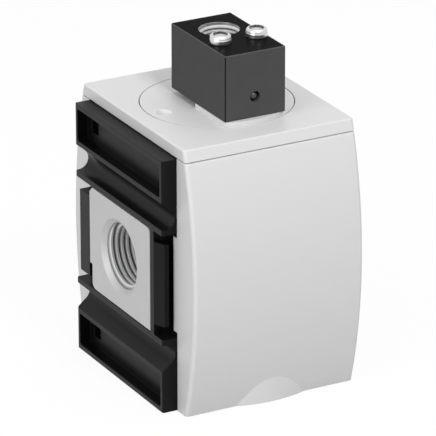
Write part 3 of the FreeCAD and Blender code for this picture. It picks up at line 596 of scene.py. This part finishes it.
def apply_modifiers(obj: bpy.types.Object) -> bpy.types.Object:
    """Turn an object's modifiers into its plain mesh, and give the object back."""
    graph = bpy.context.evaluated_depsgraph_get()
    mesh = bpy.data.meshes.new_from_object(obj.evaluated_get(graph), depsgraph=graph)
    obj.modifiers.clear()
    obj.data = mesh
    return obj


def edit_mesh(obj: bpy.types.Object, change: Callable[[bmesh.types.BMesh], None]) -> None:
    """Run a change on an object's mesh."""
    work = bmesh.new()
    work.from_mesh(obj.data)
    change(work)
    work.to_mesh(obj.data)
    work.free()


def turns_by(edge: bmesh.types.BMEdge, angle: float) -> bool:
    """True where an edge's two faces meet at more than an angle."""
    return len(edge.link_faces) == 2 and edge.calc_face_angle(0.0) > angle


def round_edges(obj: bpy.types.Object, radius: float, strips: int,
                chosen: Callable[[bmesh.types.BMEdge], bool]) -> None:
    """Round the sharp edges that a test chooses.

    Args:
        obj: Object to change.
        radius: Radius of the rounding.
        strips: Number of strips in the rounding.
        chosen: Test on an edge.
    """

    def change(work: bmesh.types.BMesh) -> None:
        """Bevel the chosen edges."""
        bmesh.ops.remove_doubles(work, verts=work.verts, dist=WELD)
        edges = [edge for edge in work.edges if turns_by(edge, ROUNDED_FROM) and chosen(edge)]
        bmesh.ops.bevel(work, geom=edges, offset=radius, offset_type="OFFSET", segments=strips,
                        profile=0.5, affect="EDGES", clamp_overlap=True)

    edit_mesh(obj, change)


def smooth(obj: bpy.types.Object, angle: float = 40.0,
           crease: Callable[[bmesh.types.BMEdge], bool] | None = None) -> None:
    """Shade a finished mesh smooth, with normals that follow the larger faces.

    Args:
        obj: Object to change.
        angle: Angle in degrees from which an edge is sharp.
        crease: Test that makes further edges sharp, or None.
    """
    obj.data.shade_smooth()
    obj.data.set_sharp_from_angle(angle=math.radians(angle))
    if crease is not None:

        def sharpen(work: bmesh.types.BMesh) -> None:
            """Make the chosen edges sharp."""
            for edge in work.edges:
                if crease(edge):
                    edge.smooth = False

        edit_mesh(obj, sharpen)
    weighted = obj.modifiers.new("normals", "WEIGHTED_NORMAL")
    weighted.keep_sharp = True
    apply_modifiers(obj)
    LOG.info("%s: %d faces", obj.name, len(obj.data.polygons))


def turned_ring(name: str, profile: Sequence[tuple[float, float]],
                steps: int = 128) -> bpy.types.Object:
    """Ring turned about Z, from the corners (radius, height) of its closed section."""
    work = bmesh.new()
    rings = []
    for step in range(steps):
        angle = 2.0 * math.pi * step / steps
        rings.append([work.verts.new((radius * math.cos(angle), radius * math.sin(angle), height))
                      for radius, height in profile])
    for here, after in zip(rings, rings[1:] + rings[:1]):
        for corner in range(len(profile)):
            beyond = (corner + 1) % len(profile)
            work.faces.new((here[corner], after[corner], after[beyond], here[beyond]))
    bmesh.ops.recalc_face_normals(work, faces=work.faces)
    mesh = bpy.data.meshes.new(name)
    work.to_mesh(mesh)
    work.free()
    return new_object(name, mesh)


# Sub-assemblies


@dataclass(frozen=True)
class BarrelForm:
    """The covers' outline: an arc in the plane of Y and Z."""

    half_width: float = 29.0 * MM
    arc_radius: float = 150.0 * MM
    half_depth: float = 39.7 * MM
    middle_height: float = 41.0 * MM
    rows: int = 48

    def slab(self, graph: GeometryGraph, low: Number, high: Number, rear: Number,
             inset: Any) -> bpy.types.NodeSocket:
        """Add a block whose front follows the barrel.

        Args:
            graph: Tree to add it to.
            low: Height of its underside.
            high: Height of its top.
            rear: Y of its rear.
            inset: Distance by which it is smaller than the barrel.

        Returns:
            The geometry socket.
        """
        cube = graph.node("GeometryNodeMeshCube", None, {
            "Size": (1.0, 1.0, 1.0), "Vertices X": 2, "Vertices Y": 2, "Vertices Z": self.rows + 1})
        x, y, z = graph.position()
        arc_radius, half_depth, half_width, middle = graph.sizes(
            "Arc Radius", "Half Depth", "Half Width", "Middle Height")
        height = low + (z + 0.5) * (high - low)
        radius = arc_radius - inset
        offset = height - middle
        reach = half_depth - arc_radius + (radius * radius - offset * offset).root()
        depth = (y + 0.5) * (reach + rear) - reach
        across = x * 2.0 * (half_width - inset)
        return graph.set_position(cube.outputs["Mesh"], graph.vector(X=across, Y=depth, Z=height))

    def inputs(self) -> dict[str, float]:
        """The named sizes of the barrel."""
        return {"Half Width": self.half_width, "Arc Radius": self.arc_radius,
                "Half Depth": self.half_depth, "Middle Height": self.middle_height}


@dataclass
class Covers:
    """The front cover and the rear cover, which is the same moulding turned round."""

    paint: Paint
    form: BarrelForm = BarrelForm()
    wall: float = 2.0 * MM
    lobe_radius: float = 36.0 * MM
    lobe_height: float = 16.0 * MM
    corner_radius: float = 1.2 * MM
    edge_radius: float = 0.5 * MM
    top_gap: float = 0.2 * MM
    tongue_reach: float = 2.4 * MM
    tongue_half_height: float = 15.4 * MM
    tongue_inset: float = 0.03  # share of the wall that keeps its face off the side's
    rear: float = -28.5 * MM
    lobe_steps: int = 256
    least_upright: float = 0.5 * MM
    corner_depth: float = 1.0 * MM
    rim_depth: float = 3.0 * MM
    lobe_angle: float = math.radians(6.0)
    corner_strips: int = 5
    rim_strips: int = 3
    sharp_from: float = 25.0

    def tree(self) -> GeometryGraph:
        """Geometry Nodes of one cover: barrel shell, lobe round the exhaust end and two tongues."""
        graph = GeometryGraph("barrel_cover", [
            "Half Width", "Arc Radius", "Half Depth", "Middle Height", "Low", "High", "Rear",
            "Wall", "Lobe Radius", "Lobe Height", "Tongue Reach", "Tongue Half Height"])
        low, high, rear, wall = graph.sizes("Low", "High", "Rear", "Wall")
        half_width, half_depth, middle = graph.sizes("Half Width", "Half Depth", "Middle Height")
        lobe_radius, lobe_height = graph.sizes("Lobe Radius", "Lobe Height")
        reach, half = graph.sizes("Tongue Reach", "Tongue Half Height")
        outer = self.form.slab(graph, low, high, rear, 0.0)
        lobe = graph.cylinder(lobe_radius, lobe_height, self.lobe_steps)
        raised = graph.shift(lobe, graph.vector(Z=low + 0.5 * lobe_height))
        front_room = graph.box((-half_width, half_width), (-2.0 * half_depth, rear),
                               (low, low + lobe_height))
        body = graph.solid("UNION", outer, graph.solid("INTERSECT", raised, front_room))
        hollow = self.form.slab(graph, low + wall, high - wall, rear + 2.0 * wall, wall)
        shell = graph.solid("DIFFERENCE", body, hollow)
        for side in (-1.0, 1.0):
            outer_x = side * (half_width - self.tongue_inset * wall)
            inner_x = side * (half_width - wall)
            across = (outer_x, inner_x) if side < 0.0 else (inner_x, outer_x)
            tongue = graph.box(across, (rear - 0.5 * wall, rear + reach),
                               (middle - half, middle + half))
            shell = graph.solid("UNION", shell, tongue)
        graph.close(shell, self.paint.material(Finish.COVER_PLASTIC))
        return graph

    def build(self) -> None:
        """Make both covers in place of their solids."""
        low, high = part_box("front_cover")
        top = high[2] - self.top_gap
        half_width = self.form.half_width
        front = self.tree().run("front_cover_shell", self.form.inputs() | {
            "Low": low[2], "High": top, "Rear": self.rear, "Wall": self.wall,
            "Lobe Radius": self.lobe_radius, "Lobe Height": self.lobe_height,
            "Tongue Reach": self.tongue_reach, "Tongue Half Height": self.tongue_half_height})

        def corner(edge: bmesh.types.BMEdge) -> bool:
            """True on the upright edges beside the barrel."""
            first, second = (v.co for v in edge.verts)
            return abs(first.z - second.z) > self.least_upright and all(
                abs(place.x) > half_width - TOUCH and place.y < self.rear - self.corner_depth
                for place in (first, second))

        def rim(edge: bmesh.types.BMEdge) -> bool:
            """True on the front edges at the top."""
            return all(v.co.z > top - TOUCH and v.co.y < self.rear - self.rim_depth
                       for v in edge.verts)

        def divide(work: bmesh.types.BMesh) -> None:
            """Divide faces of many corners into triangles."""
            bmesh.ops.triangulate(work, faces=[face for face in work.faces if len(face.verts) > 4])

        def lobe_outline(edge: bmesh.types.BMEdge) -> bool:
            """True where the lobe meets the barrel."""
            return turns_by(edge, self.lobe_angle) and all(
                v.co.z < self.lobe_height and abs(v.co.x) < 0.5 * half_width for v in edge.verts)

        round_edges(front, self.corner_radius, self.corner_strips, corner)
        round_edges(front, self.edge_radius, self.rim_strips, rim)
        edit_mesh(front, divide)
        smooth(front, self.sharp_from, lobe_outline)
        rear_cover = front.copy()
        rear_cover.data = front.data.copy()
        rear_cover.name = "rear_cover_shell"
        rear_cover.data.transform(Matrix.Rotation(math.pi, 4, "Z"))
        bpy.context.scene.collection.objects.link(rear_cover)
        for shell, node in ((front, "front_cover"), (rear_cover, "rear_cover")):
            self.paint.dress(shell, Finish.COVER_PLASTIC)
            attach(shell, FIXED_BODY)
            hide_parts(node)


class PipeThread(Enum):
    """Parallel pipe threads by pitch and depth of engagement."""

    HALF_INCH = (1.814 * MM, 1.162 * MM)
    QUARTER_INCH = (1.337 * MM, 0.856 * MM)


@dataclass
class PortThreads:
    """Helical thread ridges in the port bores, placed by the record's mounts."""

    paint: Paint
    mounts: list[dict[str, Any]]
    embed: float = 0.06 * MM
    crest_share: float = 0.4
    base_share: float = 0.98
    run_in: float = 0.25
    run_out: float = 0.35
    start: float = 0.3
    turns_less: float = 0.7
    painted_shade_from: float = 0.2
    phase: float = math.radians(180.0)
    liner_thickness: float = 0.05 * MM
    liner_proud: float = 0.02 * MM
    pilot_mouth: float = 6.3 * MM
    pilot_lip: float = 7.12 * MM
    pilot_chamfer: float = 0.5 * MM
    lip_step: float = 0.1 * MM
    lip_bevel: float = 0.08 * MM
    steps_per_turn: int = 96

    def tree(self) -> GeometryGraph:
        """Geometry Nodes of one helical ridge that fades in and out at its ends, marked for painted
        shade towards its foot.
        """
        graph = GeometryGraph(
            "thread_ridge", ["Radius", "Pitch", "Turns", "Depth", "Base", "Crest"])
        radius, pitch, turns, depth = graph.sizes("Radius", "Pitch", "Turns", "Depth")
        spiral = graph.helix(radius, turns, pitch * turns, self.steps_per_turn)
        upright = graph.node("GeometryNodeSetCurveNormal", {"mode": "Z_UP"}, {"Curve": spiral})
        factor = graph.node("GeometryNodeSplineParameter").outputs["Factor"]
        along = graph.number(factor) * turns
        fade_in = along.step_between(0.0, self.run_in)
        fade_out = (turns - along).step_between(0.0, self.run_out)
        outline = graph.node("GeometryNodeCurvePrimitiveQuadrilateral", {"mode": "TRAPEZOID"}, {
            "Height": depth, "Bottom Width": graph.size("Base"), "Top Width": graph.size("Crest"),
            "Offset": 0.0})
        based = graph.shift(outline.outputs["Curve"], graph.vector(Y=0.5 * depth))
        turned = graph.node("GeometryNodeTransform", None, {
            "Geometry": based, "Rotation": (0.0, 0.0, -math.pi / 2.0)})
        ridge = graph.sweep(upright.outputs["Curve"], turned.outputs["Geometry"],
                            Scale=fade_in * fade_out)
        # Painted shade: the ridge is marked darker from partway up its flanks down to its foot,
        # where shade falls in the valleys.
        x, y, _ = graph.position()
        outward = ((x * x + y * y).root() - radius) / depth + 1.0
        marked = graph.mark_painted_shade(ridge, outward.step_between(self.painted_shade_from, 1.0))
        graph.close(marked, self.paint.material(Finish.CUT_THREAD))
        return graph

    def place(self, piece: bpy.types.Object, mount: dict[str, Any], offset: float,
              finish: Finish, slot: str) -> None:
        """Move a piece made along +Z into a port, and give it its finish.

        Args:
            piece: Piece whose Z points into the port.
            mount: The port's mount.
            offset: Distance from the mount into the port.
            finish: Finish of the piece.
            slot: Material slot of the solid that carries it; not used.
        """
        inward = -Vector(mount["axis"])
        turn = Vector((0.0, 0.0, 1.0)).rotation_difference(inward).to_matrix().to_4x4()
        piece.data.transform(Matrix.Translation(Vector(mount["pos_m"]) + inward * offset) @ turn)
        smooth(piece)
        self.paint.dress(piece, finish)
        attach(piece, FIXED_BODY)

    def mount(self, name: str) -> dict[str, Any]:
        """Mount of a port by its name."""
        return next(entry for entry in self.mounts if entry["name"] == name)

    def add(self, mount_name: str, thread: PipeThread, slot: str) -> None:
        """Put the ridges of a thread into a port whose solid has the given material slot."""
        mount = self.mount(mount_name)
        pitch, depth = thread.value
        length = mount["dims"]["length_mm"] * MM
        radius = mount["dims"]["r_mm"] * MM + self.embed
        ridge = self.tree().run(mount_name + "_thread", {
            "Radius": radius, "Pitch": pitch, "Turns": length / pitch - self.turns_less,
            "Depth": depth + self.embed, "Base": self.base_share * pitch,
            "Crest": self.crest_share * pitch})
        ridge.data.transform(Matrix.Rotation(self.phase, 4, "Z"))
        self.place(ridge, mount, self.start * pitch, Finish.CUT_THREAD, slot)

    def line_pilot_port(self) -> None:
        """Black lip and bright cut wall of the pilot port."""
        mount = self.mount("pilot_port")
        radius = mount["dims"]["r_mm"] * MM - self.liner_proud
        depth = mount["dims"]["length_mm"] * MM
        mouth, outer, step = self.pilot_mouth, -self.pilot_chamfer, self.lip_step
        inner = (radius, 0.5 * step)
        lip = [(self.pilot_lip, outer + self.liner_proud), (mouth + step, outer - self.liner_proud),
               (mouth, outer + self.lip_bevel), (mouth, -step), inner]
        bright = mouth - self.liner_proud
        wall = [(bright, outer + step), (bright, -step), inner, (radius, depth)]
        backed = [(r + self.liner_thickness, z) for r, z in reversed(wall)]
        slot = "black_anodised"
        self.place(turned_ring("pilot_port_lip", lip), mount, 0.0, Finish.BLACK_ANODISED, slot)
        self.place(turned_ring("pilot_port_wall", wall + backed), mount, 0.0,
                   Finish.PLAIN_ALUMINIUM, slot)

    def build(self) -> None:
        """Thread the four ports."""
        for side in ("left_port", "right_port", "exhaust_port"):
            self.add(side, PipeThread.HALF_INCH, "cast_zinc")
        self.add("pilot_port", PipeThread.QUARTER_INCH, "black_anodised")
        self.line_pilot_port()


@dataclass
class ReturnSpring:
    """The spring under the poppet, which shortens as the poppet comes down; here it is made once,
    at the length of its solid.
    """

    paint: Paint
    coil_radius: float = 7.1 * MM
    wire_radius: float = 0.8 * MM
    turns: float = 6.0
    steps_per_turn: int = 40
    steps_round_wire: int = 16

    def tree(self) -> GeometryGraph:
        """Geometry Nodes of a helix with ground ends."""
        graph = GeometryGraph(
            "helical_spring", ["Coil Radius", "Wire Radius", "Turns", "Low", "High"])
        coil, wire, turns, low, high = graph.sizes(
            "Coil Radius", "Wire Radius", "Turns", "Low", "High")
        helix = graph.helix(coil, turns, high - low - wire, self.steps_per_turn)
        placed = graph.shift(helix, graph.vector(Z=low + 0.5 * wire))
        section = graph.node("GeometryNodeCurvePrimitiveCircle", None, {
            "Resolution": self.steps_round_wire, "Radius": wire})
        coiled = graph.sweep(placed, section.outputs["Curve"])
        reach = coil + 2.0 * wire
        room = graph.box((-reach, reach), (-reach, reach), (low, high))
        ground = graph.solid("INTERSECT", coiled, room)
        graph.close(ground, self.paint.material(Finish.BRIGHT_STEEL))
        return graph

    def build(self) -> None:
        """Make the spring in place of its solid, with its upper end on the poppet."""
        low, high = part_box("return_spring")
        spring = self.tree().run("return_spring_coil", {
            "Coil Radius": self.coil_radius, "Wire Radius": self.wire_radius, "Turns": self.turns,
            "Low": low[2], "High": high[2]})
        smooth(spring)
        self.paint.dress(spring, Finish.BRIGHT_STEEL)
        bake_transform(spring)
        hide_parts("return_spring")


@dataclass
class BlockScrews:
    """The two pan-head screws of the pilot block, with a six-lobe recess and a shank."""

    paint: Paint
    head_radius: float = 3.35 * MM
    head_height: float = 2.75 * MM
    seat_height: float = 108.3 * MM
    lobe_share: float = 0.17
    shank_radius: float = 2.0 * MM
    lobes: float = 6.0
    steps: int = 72
    rows: int = 56
    shank_steps: int = 48
    # From the seat over the head to the middle of the recess:
    # place along the outline, share of the head's radius, share of its height
    outline: tuple[tuple[float, float, float], ...] = (
        (0.0, 0.96, 0.0), (0.03, 1.0, 0.04), (0.2, 1.0, 0.5), (0.24, 0.975, 0.56),
        (0.3, 0.965, 0.72), (0.36, 0.93, 0.84), (0.43, 0.87, 0.93), (0.5, 0.8, 0.98),
        (0.57, 0.74, 0.995), (0.63, 0.685, 1.0), (0.68, 0.66, 0.97), (0.86, 0.62, 0.84),
        (0.9, 0.55, 0.83), (1.0, 0.0, 0.82))
    # Places along the outline between which a change runs
    lobes_rise: tuple[float, float] = (0.62, 0.7)
    # wall_begins and wall_ends bound the recess wall, which is marked for painted shade.
    wall_begins: tuple[float, float] = (0.6, 0.66)
    wall_ends: tuple[float, float] = (0.87, 0.93)

    def profile(self, graph: GeometryGraph, along: Number, column: int) -> Number:
        """Height or radius share along the outline.

        Args:
            graph: Tree to add it to.
            along: Place along the outline, from 0 to 1.
            column: 1 for the share of the radius, 2 for the share of the height.

        Returns:
            The share.
        """
        node = graph.node("ShaderNodeFloatCurve", None, {"Value": along})
        curve = node.mapping.curves[0]
        points = [(row[0], row[column]) for row in self.outline]
        while len(curve.points) < len(points):
            curve.points.new(0.5, 0.5)
        for point, place in zip(curve.points, points):
            point.location = place
            point.handle_type = "VECTOR"
        node.mapping.update()
        return graph.number(node.outputs["Value"])

    def tree(self) -> GeometryGraph:
        """Geometry Nodes of a row of screws."""
        graph = GeometryGraph("block_screws", [
            "Head Radius", "Head Height", "Lobe Share", "Shank Radius", "Shank Length",
            "Start X", "Spacing", "Y", "Z"])
        grid = graph.node("GeometryNodeMeshGrid", None, {
            "Size X": 1.0, "Size Y": 1.0, "Vertices X": self.steps + 1,
            "Vertices Y": self.rows + 1})
        round_place, along_place, _ = graph.position()
        angle = (round_place + 0.5) * (2.0 * math.pi)
        along = along_place + 0.5
        height = self.profile(graph, along, 2) * graph.size("Head Height")
        lobes = along.step_between(*self.lobes_rise) * graph.size("Lobe Share")
        waved = 1.0 + lobes * (angle * self.lobes).combine("COSINE")
        radius = self.profile(graph, along, 1) * graph.size("Head Radius") * waved
        # Painted shade: the recess wall is marked so that its colour darkens where shade falls
        # inside the recess.
        wall = along.step_between(*self.wall_begins) * (1.0 - along.step_between(*self.wall_ends))
        head = graph.set_position(
            graph.mark_painted_shade(grid.outputs["Mesh"], wall),
            graph.vector(X=radius * angle.combine("COSINE"), Y=radius * angle.combine("SINE"),
                         Z=height))
        length = graph.size("Shank Length")
        shank = graph.cylinder(graph.size("Shank Radius"), length, self.shank_steps)
        lowered = graph.shift(shank, graph.vector(Z=-0.5 * length))
        both = graph.node("GeometryNodeJoinGeometry")
        graph.tree.links.new(head, both.inputs[0])
        graph.tree.links.new(lowered, both.inputs[0])
        closed = graph.node("GeometryNodeMergeByDistance", None, {
            "Geometry": both.outputs[0], "Distance": 0.5 * WELD})
        row = graph.node("GeometryNodeMeshLine", {"mode": "OFFSET"}, {
            "Count": 2, "Offset": graph.vector(X=graph.size("Spacing")),
            "Start Location": graph.vector(
                X=graph.size("Start X"), Y=graph.size("Y"), Z=graph.size("Z"))})
        placed = graph.node("GeometryNodeInstanceOnPoints", None, {
            "Points": row.outputs["Mesh"], "Instance": closed.outputs["Geometry"]})
        graph.close(placed.outputs["Instances"], self.paint.material(Finish.BRIGHT_STEEL))
        return graph

    def build(self) -> None:
        """Make the screws in place of their solids."""
        low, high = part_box("pilot_block_screws")
        screws = self.tree().run("block_screws", {
            "Head Radius": self.head_radius, "Head Height": self.head_height,
            "Lobe Share": self.lobe_share, "Shank Radius": self.shank_radius,
            "Shank Length": self.seat_height - low[2], "Start X": low[0] + self.head_radius,
            "Spacing": high[0] - low[0] - 2.0 * self.head_radius,
            "Y": 0.5 * (low[1] + high[1]), "Z": self.seat_height})
        edit_mesh(screws, lambda work: bmesh.ops.recalc_face_normals(work, faces=work.faces))
        smooth(screws)
        self.paint.dress(screws, Finish.BRIGHT_STEEL)
        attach(screws, FIXED_BODY)
        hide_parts("pilot_block_screws")


@dataclass(frozen=True)
class Lamp:
    """A soft square lamp."""

    name: str
    place: tuple[float, float, float]
    size: float
    power: float

    def build(self, target: Sequence[float]) -> None:
        """Create the lamp, turned to a target."""
        data = bpy.data.lights.new(self.name, "AREA")
        data.shape = "SQUARE"
        data.size = self.size
        data.energy = self.power
        lamp = new_object(self.name, data)
        lamp.location = self.place
        aim = Vector(target) - Vector(self.place)
        lamp.rotation_euler = aim.to_track_quat("-Z", "Y").to_euler()


@dataclass
class Studio:
    """Pale floor, soft lamps and the camera at the photograph's viewing angle."""

    azimuth: float = math.radians(-28.485)
    elevation: float = math.radians(22.082)
    camera_place: tuple[float, float, float] = (-592.315 * MM, -1092.308 * MM, 551.342 * MM)
    focal_pixels: float = 4364.89
    image_pixels: float = 436.0
    sensor: float = 36.0
    clip: tuple[float, float] = (0.05, 20.0)
    floor_size: float = 6.0
    floor_gap: float = 0.2 * MM
    floor_level: float = 0.5  # as light on the valve
    floor_seen_level: float = 0.95
    floor_glow: float = 0.92
    world_strength: float = 0.5
    middle: tuple[float, float, float] = (0.0, 0.0, 0.05)
    lamps: tuple[Lamp, ...] = (
        Lamp("key", (0.0, -0.85, 0.95), size=0.3, power=6.9),
        Lamp("side", (-1.0, -0.35, 0.45), size=0.6, power=5.0),
        Lamp("top", (0.15, 0.1, 1.0), size=0.6, power=1.4))

    def camera(self) -> None:
        """Create the camera."""
        data = bpy.data.cameras.new("camera")
        data.sensor_width = self.sensor
        data.lens = self.focal_pixels / self.image_pixels * self.sensor
        data.clip_start, data.clip_end = self.clip
        camera = new_object("camera", data)
        camera.location = self.camera_place
        camera.rotation_euler = (math.pi / 2.0 - self.elevation, 0.0, self.azimuth)
        bpy.context.scene.camera = camera

    def floor(self) -> None:
        """Create the floor, which keeps a faint shadow."""
        mesh = bpy.data.meshes.new("floor")
        half = self.floor_size / 2.0
        corners = [(-half, -half), (half, -half), (half, half), (-half, half)]
        mesh.from_pydata([(x, y, -self.floor_gap) for x, y in corners], [], [(0, 1, 2, 3)])
        floor = new_object("floor", mesh)
        material = bpy.data.materials.new("pale_floor")
        material.use_nodes = True
        graph = Graph(material.node_tree)
        graph.tree.nodes.clear()
        path = graph.node("ShaderNodeLightPath")
        seen = graph.number(path.outputs["Is Camera Ray"]) + path.outputs["Is Glossy Ray"]
        level = self.floor_level + (self.floor_seen_level - self.floor_level) * seen
        tone = graph.node("ShaderNodeCombineColor", None, {
            "Red": level, "Green": level, "Blue": level})
        diffuse = graph.node("ShaderNodeBsdfDiffuse", None, {"Color": tone.outputs["Color"]})
        glow = graph.node("ShaderNodeEmission", None, {"Color": grey(1.0), "Strength": 1.0})
        mix = graph.node("ShaderNodeMixShader", None, {"Fac": self.floor_glow * seen})
        graph.tree.links.new(diffuse.outputs[0], mix.inputs[1])
        graph.tree.links.new(glow.outputs[0], mix.inputs[2])
        output = graph.node("ShaderNodeOutputMaterial")
        graph.tree.links.new(mix.outputs[0], output.inputs["Surface"])
        mesh.materials.append(material)

    def world(self) -> None:
        """White surroundings: full strength where they are seen, softer as light."""
        world = bpy.data.worlds.new("studio")
        world.use_nodes = True
        graph = Graph(world.node_tree)
        graph.tree.nodes.clear()
        path = graph.node("ShaderNodeLightPath")
        seen = graph.number(path.outputs["Is Camera Ray"]) + path.outputs["Is Transmission Ray"]
        glossy = graph.number(path.outputs["Is Glossy Ray"])
        strength = seen.combine("MAXIMUM", glossy).combine("MAXIMUM", self.world_strength)
        background = graph.node("ShaderNodeBackground", None, {
            "Color": grey(1.0), "Strength": strength})
        output = graph.node("ShaderNodeOutputWorld")
        graph.tree.links.new(background.outputs[0], output.inputs["Surface"])
        bpy.context.scene.world = world

    def build(self) -> None:
        """Create the whole studio."""
        bpy.context.scene.view_settings.view_transform = "Standard"
        self.camera()
        self.floor()
        self.world()
        for lamp in self.lamps:
            lamp.build(self.middle)


def dress_solids(nodes: dict[str, bpy.types.Object], record: dict[str, Any], paint: Paint) -> None:
    """Give every solid of the construction model the finish of its material slot."""
    slots = {entry["node"]: entry["material_slot"] for entry in record["subparts"]}
    by_name = {finish.value.name: finish for finish in Finish}
    for node, obj in nodes.items():
        paint.dress(obj, by_name[slots[node]])


def main() -> None:
    """Build the scene in order."""
    logging.basicConfig(level=logging.INFO, format="%(name)s: %(message)s", force=True)
    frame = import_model()
    paint = Paint()
    Studio().build()
    dress_solids(frame["nodes"], frame["record"], paint)
    Covers(paint).build()
    BlockScrews(paint).build()
    ReturnSpring(paint).build()
    PortThreads(paint, frame["record"]["mounts"]).build()


if __name__ == "__main__":
    main()
